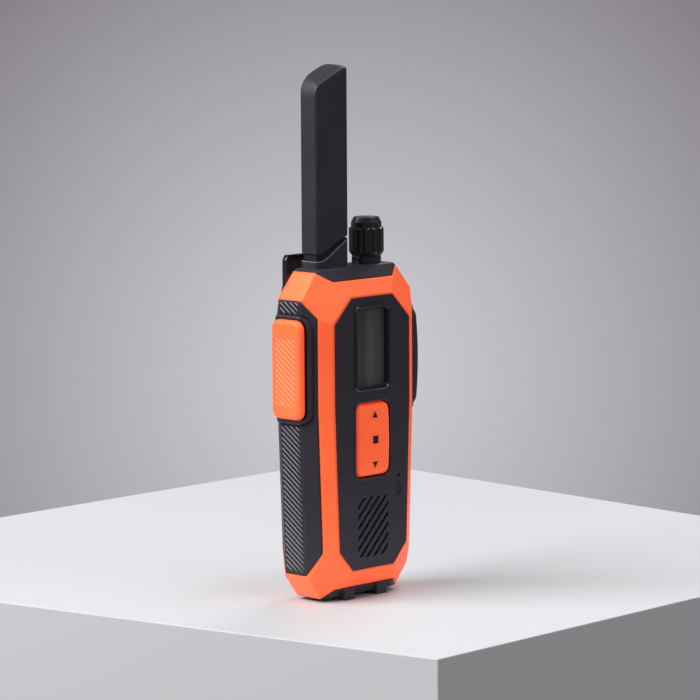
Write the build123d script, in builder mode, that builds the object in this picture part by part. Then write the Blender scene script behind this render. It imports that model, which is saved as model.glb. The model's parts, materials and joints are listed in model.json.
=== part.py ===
from build123d import *
import os

# Hand-held two way radio. Millimetres. +Z is up, the keypad and display face -Y,
# +X is to the right of somebody who looks at the display.
# The origin is on the standing surface, below the middle of the body.

os.makedirs("parts", exist_ok=True)

# ---------------------------------------------------------------- driving dimensions

# Body form: flat panels front and back, two bevels on each flank
HALF_DEPTH = 12.7  # front and back panels stand at -Y and +Y of this
PANEL_HALF = 18.1  # half width of the front panel
STRIP_HALF = 22.9  # outer edge of the coloured bevel
RIDGE_HALF = 26.6  # flat side of the body
STRIP_Y = 9.55  # depth of the coloured bevel's outer edge
RIDGE_Y = 4.9  # half depth of the flat side
TAPER_Z = 67.0  # below this height the flanks lean inwards
TAPER = 0.037  # lean, sideways per unit of height
TOP_Z = 112.0
BASE_Z = 1.2
PANEL_TOP_Z = 102.4
PANEL_SHOULDER_Z = 94.1
PANEL_FOOT_Z = 17.5
PANEL_BOTTOM_Z = 10.5
PANEL_TOP_HALF = 9.9
PANEL_BOTTOM_HALF = 10.0
SIDE_TOP_Z = 102.4
SIDE_BOTTOM_Z = 9.6
EAR_HALF = 19.5
EAR_TOP_Z = 111.2
EAR_BOTTOM_HALF = 18.5
NOTCH_HALF = 14.3
NOTCH_TOP_Z = 107.9
NOTCH_BOTTOM_Z = 4.3
TOP_SLOPE = 0.768  # depth per height on the top bevel
BOTTOM_SLOPE = 0.62
DIAGONAL_SLOPE = 0.59
SKIN = 1.2  # coloured and grip layer
WALL = 1.6  # structural shell below it
PARTING = 0.06  # half of the visible gap between neighbouring skins
SPLIT = 0.4  # half thickness of the seal between the two housings

# Antenna
ANTENNA_X = -9.9
ANTENNA_LEFT = -17.3
ANTENNA_RIGHT = -2.4
ANTENNA_HALF_Y = 3.75
ANTENNA_TIP_Z = 179.9
TIP_SHOULDER_Z = 168.5  # the left side starts to curve in here
TIP_FRONT_Z = 179.3  # right end of the top's front edge
TIP_SLANT = 0.44  # rise of the top per width
TIP_TILT = 0.30  # rise of the top per depth, towards the back
STUD_FLANGE_R = 2.6
STUD_HEAD_R = 4.0
STUD_BOTTOM_Z = 99.0

# Volume control
KNOB_X = 10.6
KNOB_R = 5.9
KNOB_Z = 114.5
KNOB_SHOULDER_Z = 124.2
KNOB_TOP_Z = 127.6
SHAFT_R = 3.0
BUSHING_R = 3.6
RUNNING = 0.05  # radial clearance of turning parts

# Side controls, the same footprint on both flanks
SIDE_Z = 79.2
SIDE_HEIGHT = 33.4
SIDE_WIDTH = 14.0
FRAME_HEIGHT = 36.4
FRAME_WIDTH = 16.6
FRAME_X = 27.5
FRAME_CORNER = 4.5
BUTTON_CORNER = 3.0
FRAME_ROOT_X = 15  # the frames are cut back to the core from here
BUTTON_X = 29.0
BUTTON_GAP = 0.35
STEM_R = 2.0
JACK_Z = 86.5
JACK_R = 1.75
JACK_COLLAR_R = 3.0
PORT_Z = 71.5

# Display and keypad
DISPLAY_Z = 85.0
BEZEL_CORNER = 2.6
BEZEL_WIDTH = 17.6
BEZEL_HEIGHT = 29.2
WINDOW_WIDTH = 14.2
WINDOW_HEIGHT = 25.4
KEY_Z = 54.1
KEY_WIDTH = 15.7
KEY_HEIGHT = 24.8
KEY_RISE = 1.3
KEY_OPENING_GAP = 0.3  # clearance of the pad in the panel
KEY_SURROUND = 0.9  # width of the shallow step round the pad
KEY_SURROUND_DEPTH = 0.35
MIC_X = 12.6
MIC_Z = 40.7
MIC_HOLE_R = 0.6
MIC_R = 2.0
MIC_GASKET_R = 2.8
MIC_FRONT_Y = -9.7
MIC_BACK_Y = -7.2

# Speaker grille
GRILLE_Z = 24.6
GRILLE_WIDTH = 14.8
GRILLE_HEIGHT = 20.4
SLOT_PITCH = 2.5
SLOT_WIDTH = 1.15
SPEAKER_R = 10.8
GRILLE_SKIN = 1.4  # panel thickness at the slots

# Main board
BOARD_FRONT = -3.0
BOARD_THICK = 1.2

# Battery bay on the back
DOOR_HALF = 15.0
DOOR_TOP_Z = 63.5
DOOR_BOTTOM_Z = 13.4
DOOR_THICK = 1.5
HINGE_R = 0.75
BAY_HALF = 13.9
BAY_TOP_Z = 61.6
BAY_BOTTOM_Z = 16.4

# Belt clip
CLIP_HALF = 12.8
CLIP_WAIST = 10.6  # half width below the top flare
CLIP_NECK_Z = 99.5
CLIP_TOP_Z = 115.2
CLIP_BOTTOM_Z = 66.0
CLIP_THICK = 1.8
PIVOT_Y = 16.7
PIVOT_Z = 92.0
PIN_R = 1.0

# Flank grips and frames
COVER_AXIS_X = 27.75
COVER_AXIS_Y = 7.75
KNUCKLE_R = 0.75

# End caps
CAP_END = 1.6  # length of the slope at each end of the top cap
FOOT_X = 7.8
FOOT_WIDTH = 4.7
FOOT_FRONT = 9.0
FOOT_WEB = 4.0  # low web that joins the two feet

# Housings
BOSS_R = 2.4
HOUSING_SCREWS = [(x, z) for x in (-13.9, 13.9) for z in (69.0, 95.2)]
BOARD_SCREWS = [(x, z) for x in (-18.4, 18.4) for z in (28.0, 57.0)]
SCREW_R = 1.0
SCREW_HEAD_R = 1.9
HEAD_SEAT_Y = 11.2  # depth of the screw heads in the rear housing
BOARD_BOSS_R = 1.9
BOARD_SCREW_R = 0.8
PANEL_INNER_Y = -(HALF_DEPTH - SKIN - WALL)
DOOR_CORNER = 4.2
CORNER_EASE = 0.4  # extra cut at the door's lower corners, so they clear the housing
DOOR_GAP = 0.2
HINGE_PIN_R = 0.4
HINGE_PIN_HALF = 13.0
HINGE_RELIEF_HALF = 12.2  # room for the door's cut corners to turn
LATCH_TONGUE_Y = 10.4
BRACKET_SCREWS = (85.5, 98.5)
HINGE_Y = HALF_DEPTH - HINGE_R
HINGE_Z = DOOR_BOTTOM_Z + HINGE_R
BAY_FLOOR_Y = 0.3

# Display
BEZEL_RISE = 0.7
WINDOW_FRONT_Y = -11.2
WINDOW_THICK = 1.2
REBATE = 0.7
LCD_WIDTH = 16.6
LCD_HEIGHT = 28.2
LCD_FRONT_Y = -9.8
LCD_BACK_Y = -8.4
BACKLIGHT_BACK_Y = -7.2
HOLDER_BACK_Y = -6.4

# Keypad
FLANGE = 1.35
PAD_BACK_Y = -8.6
PAD_FRONT_Y = -HALF_DEPTH - KEY_RISE
CROWN_R = 128.0
LEGEND_SIZE = 2.7
LEGEND_STEP = 8.2
LEGEND_DEPTH = 0.25
KEY_SWITCH_STEP = 8.5
CARRIER_Y = -7.6

# Main board
BOARD_HALF = 20.6
BOARD_BOTTOM_Z = 11.5
BOARD_TOP_Z = 92.5
BOARD_BACK = BOARD_FRONT + BOARD_THICK

# Battery and its door
PACK_Y = (1.6, 9.4)
PACK_Z = (19.2, 61.3)
TERMINAL_X = (-6.0, 0.0, 6.0)
LATCH_REST_Z = (56.2, 61.2)
LATCH_TRAVEL = 2.0
LATCH_WIDTH = 9.0
TONGUE_WIDTH = 8.0
STEM_REST_Z = (57.8, 60.0)
TONGUE_Y = (9.8, 11.1)
DOOR_INNER_Y = HALF_DEPTH - DOOR_THICK

# Belt clip
EAR_INNER_X = 5.6
EAR_THICK = 1.8
KNUCKLE_IN_X = 3.2
EAR_R = 2.0
BRACKET_TOP_Y = HALF_DEPTH + 1.3
SPRING_WIRE_R = 0.3
SPRING_R = 1.4

# Antenna
NECK_INSET = 0.9
NECK_TOP_Z = 124.0
RIGHT_BULGE = 1.2
ANTENNA_CORNER = 1.1
COIL_BORE_R = 2.8
COIL_TOP_Z = 163.0

# Volume control
NUT_TOP_Z = 114.3
POT_Z = (99.9, 106.4)
BORE_R = SHAFT_R + RUNNING
SHAFT_TOP_Z = 124.0
UP = (Align.CENTER, Align.CENTER, Align.MIN)
FLUTES = 12
FLUTE_R = 1.0
FLUTE_DEPTH = 0.6
CAP_R = 5.3
CAP_BEND_Z = KNOB_SHOULDER_Z + 1.6
CAP_TAPER = 27
MARKER_DEPTH = 0.3

# Push-to-talk
BUTTON_BACK_X = 26.75
CORE_SIDE_X = RIDGE_HALF - SKIN
STEM_END_X = 21.8
PLUNGER_R = 0.8
PLUNGER_LENGTH = 2.8

# Headset jack, charging port, cover
JACK_DEPTH = 11.0
COVER_BACK_X = 26.1
COVER_CROWN_R = 116.0
COVER_TOP_X = 28.9


# ---------------------------------------------------------------- shared helpers


def keep(piece, node):
    """Name a finished piece and write its STEP file."""
    piece.part.label = node
    export_step(piece.part, f"parts/{node}.step")


def lean(z):
    """How far the flanks have moved inwards at height z."""
    return max(0.0, TAPER * (TAPER_Z - z))


def mirrored(points):
    """Close a right-hand outline with its mirror image."""
    return points + [(-x, z) for x, z in reversed(points)]


def facets(inset):
    """A point and an outward direction for each end facet of the body form."""
    found = [((0, 0, BASE_Z), (0, 0, -1))]
    for face in (-1, 1):
        y = face * HALF_DEPTH
        found.append(((0, y, PANEL_TOP_Z), (0, face, TOP_SLOPE)))
        found.append(((0, y, PANEL_BOTTOM_Z), (0, face, -BOTTOM_SLOPE)))
    for side in (-1, 1):
        top_run = RIDGE_HALF - EAR_HALF
        top_rise = EAR_TOP_Z - SIDE_TOP_Z
        found.append(((side * RIDGE_HALF, 0, SIDE_TOP_Z), (side * top_rise, 0, top_run)))
        foot = RIDGE_HALF - lean(SIDE_BOTTOM_Z)
        low_run = foot - EAR_BOTTOM_HALF
        low_rise = SIDE_BOTTOM_Z - BASE_Z
        found.append(((side * foot, 0, SIDE_BOTTOM_Z), (side * low_rise, 0, -low_run)))
        for face in (-1, 1):
            y = face * HALF_DEPTH
            across = PANEL_TOP_Z - PANEL_SHOULDER_Z
            up = PANEL_HALF - PANEL_TOP_HALF
            length = (across**2 + up**2) ** 0.5
            slant = (
                side * DIAGONAL_SLOPE * across / length,
                face,
                DIAGONAL_SLOPE * up / length,
            )
            found.append(((side * PANEL_HALF, y, PANEL_SHOULDER_Z), slant))
            across = PANEL_FOOT_Z - PANEL_BOTTOM_Z
            up = PANEL_HALF - lean(PANEL_FOOT_Z) - PANEL_BOTTOM_HALF
            length = (across**2 + up**2) ** 0.5
            slant = (
                side * DIAGONAL_SLOPE * across / length,
                face,
                -DIAGONAL_SLOPE * up / length,
            )
            found.append(((side * PANEL_BOTTOM_HALF, y, PANEL_BOTTOM_Z), slant))
    return [
        (Vector(*point) - Vector(*out).normalized() * inset, Vector(*out))
        for point, out in found
    ]


def body_form(inset):
    """Faceted outer form of the body, with every facet moved inwards by inset."""
    half = [
        (PANEL_HALF, -HALF_DEPTH),
        (STRIP_HALF, -STRIP_Y),
        (RIDGE_HALF, -RIDGE_Y),
        (RIDGE_HALF, RIDGE_Y),
        (STRIP_HALF, STRIP_Y),
        (PANEL_HALF, HALF_DEPTH),
    ]
    with BuildPart() as form:
        with BuildSketch(Plane.XY.offset(TAPER_Z)):
            with BuildLine():
                Polyline(mirrored(half), close=True)
            make_face()
            if inset:
                offset(amount=-inset, kind=Kind.INTERSECTION)
        extrude(amount=TOP_Z - inset - TAPER_Z)
        for side in (-1, 1):
            inner = Align.MIN if side > 0 else Align.MAX
            with BuildSketch(Plane.XY.offset(TAPER_Z)):
                with BuildLine():
                    Polyline(mirrored(half), close=True)
                make_face()
                if inset:
                    offset(amount=-inset, kind=Kind.INTERSECTION)
                Rectangle(80, 80, align=(inner, Align.CENTER), mode=Mode.INTERSECT)
            reach = TAPER_Z * (1 + TAPER**2) ** 0.5
            extrude(amount=reach, dir=(-side * TAPER, 0, -1))
        for point, out in facets(inset):
            with BuildSketch(Plane(origin=point, z_dir=out)):
                Rectangle(300, 300)
            extrude(amount=60, mode=Mode.SUBTRACT)
    return form.part


def front_prism(points, grow=0.0):
    """Prism through the whole depth with the given front-view outline."""
    with BuildPart() as prism:
        with BuildSketch(Plane.XZ.offset(-40)):
            with BuildLine():
                Polyline(points, close=True)
            make_face()
            if grow:
                offset(amount=grow, kind=Kind.INTERSECTION)
        extrude(amount=80)
    return prism.part


def slab(y_low, y_high):
    """Everything between two depths."""
    with BuildPart() as layer:
        with BuildSketch(Plane.XZ.offset(-y_high)):
            with Locations((0, 60)):
                Rectangle(200, 300)
        extrude(amount=y_high - y_low)
    return layer.part


def side_prism(side, x_low, x_high, width, height, corner, taper=0.0):
    """Rounded block that stands out of one flank, centred on the side controls."""
    with BuildPart() as block:
        base = Plane(origin=(side * x_low, 0, 0), x_dir=(0, side, 0), z_dir=(side, 0, 0))
        with BuildSketch(base):
            with Locations((0, SIDE_Z)):
                RectangleRounded(width, height, corner)
        extrude(amount=x_high - x_low, taper=taper)
    return block.part


# ---------------------------------------------------------------- body form and zones

outer = body_form(0)
core = body_form(SKIN)
cavity = body_form(SKIN + WALL)

panel_points = mirrored(
    [
        (PANEL_TOP_HALF, PANEL_TOP_Z),
        (PANEL_HALF, PANEL_SHOULDER_Z),
        (PANEL_HALF, TAPER_Z),
        (PANEL_HALF - lean(PANEL_FOOT_Z), PANEL_FOOT_Z),
        (PANEL_BOTTOM_HALF, PANEL_BOTTOM_Z),
    ]
)
top_points = mirrored(
    [(EAR_HALF, TOP_Z + 9), (EAR_HALF, EAR_TOP_Z), (NOTCH_HALF, NOTCH_TOP_Z)]
)
base_points = mirrored(
    [(NOTCH_HALF, NOTCH_BOTTOM_Z), (EAR_BOTTOM_HALF, BASE_Z), (EAR_BOTTOM_HALF, -5)]
)


def grip_points(side):
    """Front-view outline of one flank's grip."""
    foot_z = PANEL_FOOT_Z
    right = [
        (STRIP_HALF, TAPER_Z),
        (STRIP_HALF, 96.5),
        (RIDGE_HALF, SIDE_TOP_Z),
        (RIDGE_HALF + 9, SIDE_TOP_Z),
        (RIDGE_HALF + 9, SIDE_BOTTOM_Z),
        (RIDGE_HALF - lean(SIDE_BOTTOM_Z), SIDE_BOTTOM_Z),
        (STRIP_HALF - lean(foot_z), foot_z),
    ]
    return [(side * x, z) for x, z in right]


# ---------------------------------------------------------------- coloured bumpers


def bumper(y_low, y_high):
    """Skin around one face, without the panel, the grips and the two end caps."""
    with BuildPart() as ring:
        add(outer)
        add(core, mode=Mode.SUBTRACT)
        add(slab(y_low, y_high), mode=Mode.INTERSECT)
        add(front_prism(panel_points, PARTING), mode=Mode.SUBTRACT)
        add(front_prism(top_points, PARTING), mode=Mode.SUBTRACT)
        add(front_prism(base_points, PARTING), mode=Mode.SUBTRACT)
        for side in (-1, 1):
            add(front_prism(grip_points(side), PARTING), mode=Mode.SUBTRACT)
    return ring


front_bumper = bumper(-30, RIDGE_Y)
keep(front_bumper, "front_bumper")

rear_bumper = bumper(RIDGE_Y + 2 * PARTING, 30)
keep(rear_bumper, "rear_bumper")


# ---------------------------------------------------------------- flank grips and frames


def side_grip(side):
    """Skin over one flank, with a window for that flank's control frame."""
    with BuildPart() as grip:
        add(outer)
        add(core, mode=Mode.SUBTRACT)
        add(front_prism(grip_points(side), -PARTING), mode=Mode.INTERSECT)
        add(
            side_prism(side, FRAME_ROOT_X, 40, FRAME_WIDTH, FRAME_HEIGHT, FRAME_CORNER),
            mode=Mode.SUBTRACT,
        )
    return grip


side_grip_left = side_grip(-1)
keep(side_grip_left, "side_grip_left")

side_grip_right = side_grip(1)
keep(side_grip_right, "side_grip_right")


def control_frame(side):
    """Collar around a flank control. Its lip follows the body, a little proud of it."""
    with BuildPart() as frame:
        add(side_prism(side, FRAME_ROOT_X, FRAME_X, FRAME_WIDTH, FRAME_HEIGHT, FRAME_CORNER))
        lip = frame.faces().sort_by(Axis.X)[-1 if side > 0 else 0]
        fillet(lip.edges(), radius=0.6)
        add(body_form(RIDGE_HALF - FRAME_X), mode=Mode.INTERSECT)
        add(core, mode=Mode.SUBTRACT)
        add(front_prism(grip_points(side), -PARTING), mode=Mode.INTERSECT)
        pocket = side_prism(
            side,
            RIDGE_HALF - SKIN,
            40,
            SIDE_WIDTH + 2 * BUTTON_GAP,
            SIDE_HEIGHT + 2 * BUTTON_GAP,
            3.2,
        )
        add(pocket, mode=Mode.SUBTRACT)
    return frame


ptt_frame = control_frame(-1)
keep(ptt_frame, "ptt_frame")

# The jack frame's rear lip is lower, so that the cover's knuckle can turn above it
with BuildPart() as jack_frame:
    add(control_frame(1).part)
    with Locations((COVER_AXIS_X, COVER_AXIS_Y + 0.5, SIDE_Z)):
        Box(2 * KNUCKLE_R + 0.4, 3, SIDE_HEIGHT - 4, mode=Mode.SUBTRACT)
keep(jack_frame, "jack_frame")


# ---------------------------------------------------------------- end caps


with BuildPart() as top_cap:
    add(outer)
    add(core, mode=Mode.SUBTRACT)
    add(front_prism(top_points, -PARTING), mode=Mode.INTERSECT)
    with BuildSketch(Plane.XY.offset(TOP_Z)):
        with Locations((KNOB_X, 0)):
            Circle(BUSHING_R + RUNNING)
        with Locations((ANTENNA_X, 0)):
            Circle(STUD_FLANGE_R + RUNNING)
    extrude(amount=-10, mode=Mode.SUBTRACT)
    # the plateau slopes down to the ears at both ends
    with BuildSketch(Plane.XZ):
        for side in (-1, 1):
            with BuildLine():
                Polyline(
                    (side * (EAR_HALF - CAP_END), TOP_Z),
                    (side * EAR_HALF, EAR_TOP_Z),
                    (side * (EAR_HALF + 1), EAR_TOP_Z),
                    (side * (EAR_HALF + 1), TOP_Z + 1),
                    (side * (EAR_HALF - CAP_END), TOP_Z + 1),
                    close=True,
                )
            make_face()
    extrude(amount=20, both=True, mode=Mode.SUBTRACT)
keep(top_cap, "top_cap")

with BuildPart() as base_cap:
    add(outer)
    add(core, mode=Mode.SUBTRACT)
    add(front_prism(base_points, -PARTING), mode=Mode.INTERSECT)
    with BuildSketch(Plane.XY):
        with Locations((-FOOT_X, 0), (FOOT_X, 0)):
            Rectangle(FOOT_WIDTH, 2 * FOOT_FRONT)
        Rectangle(2 * FOOT_X, FOOT_WEB)
    extrude(amount=NOTCH_BOTTOM_Z - 2 * PARTING)
    add(core, mode=Mode.SUBTRACT)
keep(base_cap, "base_cap")


# ---------------------------------------------------------------- housings


def housing_shell(face):
    """Half of the structural shell, joined to its flush outer panel."""
    y_range = (-30, -SPLIT) if face < 0 else (SPLIT, 30)
    with BuildPart() as shell:
        add(outer)
        add(front_prism(panel_points, -PARTING), mode=Mode.INTERSECT)
        add(core)
        add(cavity, mode=Mode.SUBTRACT)
        add(slab(*y_range), mode=Mode.INTERSECT)
    return shell.part


def column(x, z, radius, y_from, y_to, inside=None):
    """Round bar along Y, kept inside another solid if one is given."""
    with BuildPart() as bar:
        with BuildSketch(Plane.XZ.offset(-y_to)):
            with Locations((x, z)):
                Circle(radius)
        extrude(amount=y_to - y_from)
        if inside:
            add(inside, mode=Mode.INTERSECT)
    return bar.part


# Openings that cross both housings and the seal between them
with BuildPart() as shared_openings:
    with BuildSketch(Plane.YZ.offset(-30)):
        with Locations((0, SIDE_Z)):
            Circle(STEM_R + 0.3)
    extrude(amount=10)
    with BuildSketch(Plane.YZ.offset(20)):
        with Locations((0, JACK_Z)):
            Circle(JACK_COLLAR_R + RUNNING)
        with Locations((0, PORT_Z)):
            Rectangle(3.6, 9.6)
    extrude(amount=10)
    with BuildSketch(Plane.XY.offset(TOP_Z - 4)):
        with Locations((KNOB_X, 0)):
            Circle(BUSHING_R + RUNNING)
        with Locations((ANTENNA_X, 0)):
            Circle(STUD_FLANGE_R + RUNNING)
    extrude(amount=10)


with BuildPart() as front_housing:
    add(housing_shell(-1))
    for boss_x, boss_z in HOUSING_SCREWS:
        add(column(boss_x, boss_z, BOSS_R, PANEL_INNER_Y - 0.5, -SPLIT, core))
        add(column(boss_x, boss_z, SCREW_R, -8.0, 0), mode=Mode.SUBTRACT)
    for boss_x, boss_z in BOARD_SCREWS:
        add(column(boss_x, boss_z, BOARD_BOSS_R, PANEL_INNER_Y - 1.5, BOARD_FRONT, core))
        add(column(boss_x, boss_z, BOARD_SCREW_R, -7.0, 0), mode=Mode.SUBTRACT)
    # seat of the display bezel
    with BuildSketch(Plane.XZ.offset(HALF_DEPTH + 5)):
        with Locations((0, DISPLAY_Z)):
            RectangleRounded(BEZEL_WIDTH, BEZEL_HEIGHT, BEZEL_CORNER)
    extrude(amount=-12, mode=Mode.SUBTRACT)
    # opening of the keypad, with its shallow surround
    with BuildSketch(Plane.XZ.offset(HALF_DEPTH + 5)):
        with Locations((0, KEY_Z)):
            RectangleRounded(
                KEY_WIDTH + 2 * KEY_OPENING_GAP, KEY_HEIGHT + 2 * KEY_OPENING_GAP, 3.0
            )
    extrude(amount=-12, mode=Mode.SUBTRACT)
    with BuildSketch(Plane.XZ.offset(HALF_DEPTH)):
        with Locations((0, KEY_Z)):
            RectangleRounded(KEY_WIDTH + 2 * KEY_SURROUND, KEY_HEIGHT + 2 * KEY_SURROUND, 3.6)
    extrude(amount=-KEY_SURROUND_DEPTH, mode=Mode.SUBTRACT)
    # microphone opening
    with BuildSketch(Plane.XZ.offset(HALF_DEPTH)):
        with Locations((MIC_X, MIC_Z)):
            Circle(MIC_HOLE_R)
    extrude(amount=-5, mode=Mode.SUBTRACT)
    # relief behind the grille, then the slots
    with BuildSketch(Plane.XZ.offset(HALF_DEPTH - GRILLE_SKIN)):
        with Locations((0, GRILLE_Z)):
            Circle(SPEAKER_R - 1.0)
    extrude(amount=-5, mode=Mode.SUBTRACT)
    with BuildSketch(Plane.XZ.offset(HALF_DEPTH)):
        for step in range(-4, 5):
            shift = step * SLOT_PITCH * 2**0.5
            with Locations(Location((shift, GRILLE_Z), 45)):
                SlotOverall(40, SLOT_WIDTH)
        with Locations((0, GRILLE_Z)):
            RectangleRounded(GRILLE_WIDTH, GRILLE_HEIGHT, 2.4, mode=Mode.INTERSECT)
    extrude(amount=-3, mode=Mode.SUBTRACT)
    add(shared_openings.part, mode=Mode.SUBTRACT)
keep(front_housing, "front_housing")


def door_points(grow, corner=DOOR_CORNER):
    """Outline of the battery door, with cut lower corners."""
    side = DOOR_HALF + grow
    low = DOOR_BOTTOM_Z - grow
    return mirrored(
        [
            (side, DOOR_TOP_Z + grow),
            (side, low + corner),
            (side - corner, low),
        ]
    )


with BuildPart() as rear_housing:
    add(housing_shell(1))
    # walled bay for the battery pack
    with BuildSketch(Plane.XZ.offset(-BAY_FLOOR_Y - 0.2)):
        with Locations((0, (BAY_TOP_Z + BAY_BOTTOM_Z) / 2)):
            Rectangle(2 * BAY_HALF + 2.0, BAY_TOP_Z - BAY_BOTTOM_Z + 2.0)
    extrude(amount=-10.4)
    for boss_x, boss_z in HOUSING_SCREWS:
        add(column(boss_x, boss_z, BOSS_R, SPLIT, 10.4, core))
        add(column(boss_x, boss_z, SCREW_R + 0.15, 0, 30), mode=Mode.SUBTRACT)
        add(column(boss_x, boss_z, SCREW_HEAD_R + 0.15, HEAD_SEAT_Y, 30), mode=Mode.SUBTRACT)
    with BuildSketch(Plane.XZ.offset(-1.5)):
        with Locations((0, (BAY_TOP_Z + BAY_BOTTOM_Z) / 2)):
            Rectangle(2 * BAY_HALF, BAY_TOP_Z - BAY_BOTTOM_Z)
    extrude(amount=-20, mode=Mode.SUBTRACT)
    # rebate of the door, with clearance for its rounded hinge edge
    with BuildSketch(Plane.XZ.offset(-(HALF_DEPTH - DOOR_THICK - 0.15))):
        with BuildLine():
            Polyline(door_points(DOOR_GAP), close=True)
        make_face()
    extrude(amount=-10, mode=Mode.SUBTRACT)
    with Locations(Location((0, HINGE_Y, HINGE_Z), (0, 90, 0))):
        Cylinder(HINGE_PIN_R, 2 * HINGE_PIN_HALF, mode=Mode.SUBTRACT)
        Cylinder(HINGE_R + 0.4, 2 * HINGE_RELIEF_HALF, mode=Mode.SUBTRACT)
    # pocket that the latch tongue enters, open towards the cavity
    with Locations((0, LATCH_TONGUE_Y, DOOR_TOP_Z + 0.4)):
        Box(TONGUE_WIDTH + 0.8, 1.8, 5.2, mode=Mode.SUBTRACT)
    for screw_z in BRACKET_SCREWS:
        add(column(0, screw_z, SCREW_R, 9, 30), mode=Mode.SUBTRACT)
    add(shared_openings.part, mode=Mode.SUBTRACT)
keep(rear_housing, "rear_housing")


# ---------------------------------------------------------------- seal between the housings

with BuildPart() as perimeter_seal:
    add(core)
    add(cavity, mode=Mode.SUBTRACT)
    add(slab(-SPLIT, SPLIT), mode=Mode.INTERSECT)
    add(shared_openings.part, mode=Mode.SUBTRACT)
keep(perimeter_seal, "perimeter_seal")


# ---------------------------------------------------------------- display


def front_plate(width, height, corner, y_front, y_back, z):
    """Plate parallel to the front panel."""
    with BuildPart() as plate:
        with BuildSketch(Plane.XZ.offset(-y_back)):
            with Locations((0, z)):
                RectangleRounded(width, height, corner)
        extrude(amount=y_back - y_front)
    return plate.part


with BuildPart() as display_bezel:
    bezel_front_y = -HALF_DEPTH - BEZEL_RISE
    add(
        front_plate(
            BEZEL_WIDTH, BEZEL_HEIGHT, BEZEL_CORNER, bezel_front_y, PANEL_INNER_Y, DISPLAY_Z
        )
    )
    window = front_plate(WINDOW_WIDTH, WINDOW_HEIGHT, 1.6, -20, 0, DISPLAY_Z)
    add(window, mode=Mode.SUBTRACT)
    bezel_rim = display_bezel.faces().sort_by(Axis.Y)[0]
    fillet(bezel_rim.edges(), radius=0.55)
    seat = front_plate(
        WINDOW_WIDTH + 2 * REBATE,
        WINDOW_HEIGHT + 2 * REBATE,
        2.0,
        WINDOW_FRONT_Y,
        0,
        DISPLAY_Z,
    )
    add(seat, mode=Mode.SUBTRACT)
keep(display_bezel, "display_bezel")

with BuildPart() as display_window:
    add(
        front_plate(
            WINDOW_WIDTH + 2 * REBATE,
            WINDOW_HEIGHT + 2 * REBATE,
            2.0,
            WINDOW_FRONT_Y,
            WINDOW_FRONT_Y + WINDOW_THICK,
            DISPLAY_Z,
        )
    )
keep(display_window, "display_window")

with BuildPart() as lcd_panel:
    add(front_plate(LCD_WIDTH, LCD_HEIGHT, 0.5, LCD_FRONT_Y, LCD_BACK_Y, DISPLAY_Z))
keep(lcd_panel, "lcd_panel")

with BuildPart() as backlight:
    add(front_plate(LCD_WIDTH, LCD_HEIGHT, 0.5, LCD_BACK_Y, BACKLIGHT_BACK_Y, DISPLAY_Z))
keep(backlight, "backlight")

with BuildPart() as display_holder:
    add(
        front_plate(
            LCD_WIDTH + 2.0, LCD_HEIGHT + 2.0, 1.0, LCD_FRONT_Y, HOLDER_BACK_Y, DISPLAY_Z
        )
    )
    hollow = front_plate(
        LCD_WIDTH, LCD_HEIGHT, 0.5, LCD_FRONT_Y, BACKLIGHT_BACK_Y, DISPLAY_Z
    )
    add(hollow, mode=Mode.SUBTRACT)
    with BuildSketch(Plane.XZ.offset(-HOLDER_BACK_Y)):
        with Locations((0, DISPLAY_Z + 0.5)):
            with GridLocations(15, 14, 2, 2):
                Circle(1.0)
    extrude(amount=-(BOARD_FRONT - HOLDER_BACK_Y))
keep(display_holder, "display_holder")


# ---------------------------------------------------------------- keypad


with BuildPart() as pad_form:
    add(front_plate(KEY_WIDTH, KEY_HEIGHT, 2.7, PAD_FRONT_Y - 1, PAD_BACK_Y, KEY_Z))
    with BuildSketch(Plane.YZ):
        with Locations((PAD_FRONT_Y + CROWN_R, KEY_Z)):
            Circle(CROWN_R)
    extrude(amount=20, both=True, mode=Mode.INTERSECT)
    pad_face = pad_form.faces().sort_by(Axis.Y)[0]
    fillet(pad_face.edges(), radius=1.2)

# Legends follow the crowned face: an arrow up, a square and an arrow down
with BuildPart() as keypad_legends:
    with BuildSketch(Plane.XZ.offset(HALF_DEPTH)):
        with Locations((0, KEY_Z + LEGEND_STEP)):
            Triangle(a=LEGEND_SIZE, B=60, C=60)
        with Locations((0, KEY_Z)):
            Rectangle(LEGEND_SIZE, LEGEND_SIZE)
        with Locations(Location((0, KEY_Z - LEGEND_STEP), 180)):
            Triangle(a=LEGEND_SIZE, B=60, C=60)
    extrude(amount=5)
    add(pad_form.part, mode=Mode.INTERSECT)
    with BuildSketch(Plane.YZ):
        with Locations((PAD_FRONT_Y + CROWN_R, KEY_Z)):
            Circle(CROWN_R - LEGEND_DEPTH)
    extrude(amount=20, both=True, mode=Mode.SUBTRACT)
keep(keypad_legends, "keypad_legends")

with BuildPart() as keypad:
    add(pad_form.part)
    add(keypad_legends.part, mode=Mode.SUBTRACT)
    flange_width = KEY_WIDTH + 2 * FLANGE
    flange_height = KEY_HEIGHT + 2 * FLANGE
    add(front_plate(flange_width, flange_height, 3.5, -9.3, PAD_BACK_Y, KEY_Z))
keep(keypad, "keypad")

with BuildPart() as keypad_carrier:
    add(front_plate(17.0, 26.0, 3.0, CARRIER_Y, CARRIER_Y + 0.7, KEY_Z))
    # half-round ridge that the pad rocks on
    with BuildSketch(Plane.YZ):
        with Locations((CARRIER_Y, KEY_Z)):
            Circle(-PAD_BACK_Y + CARRIER_Y - 0.02)
    extrude(amount=6.5, both=True)
    with BuildSketch(Plane.XZ.offset(-CARRIER_Y - 0.7)):
        with Locations((0, KEY_Z)):
            with GridLocations(1, KEY_SWITCH_STEP, 1, 3):
                Circle(1.0)
    extrude(amount=-0.4)
keep(keypad_carrier, "keypad_carrier")

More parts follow.
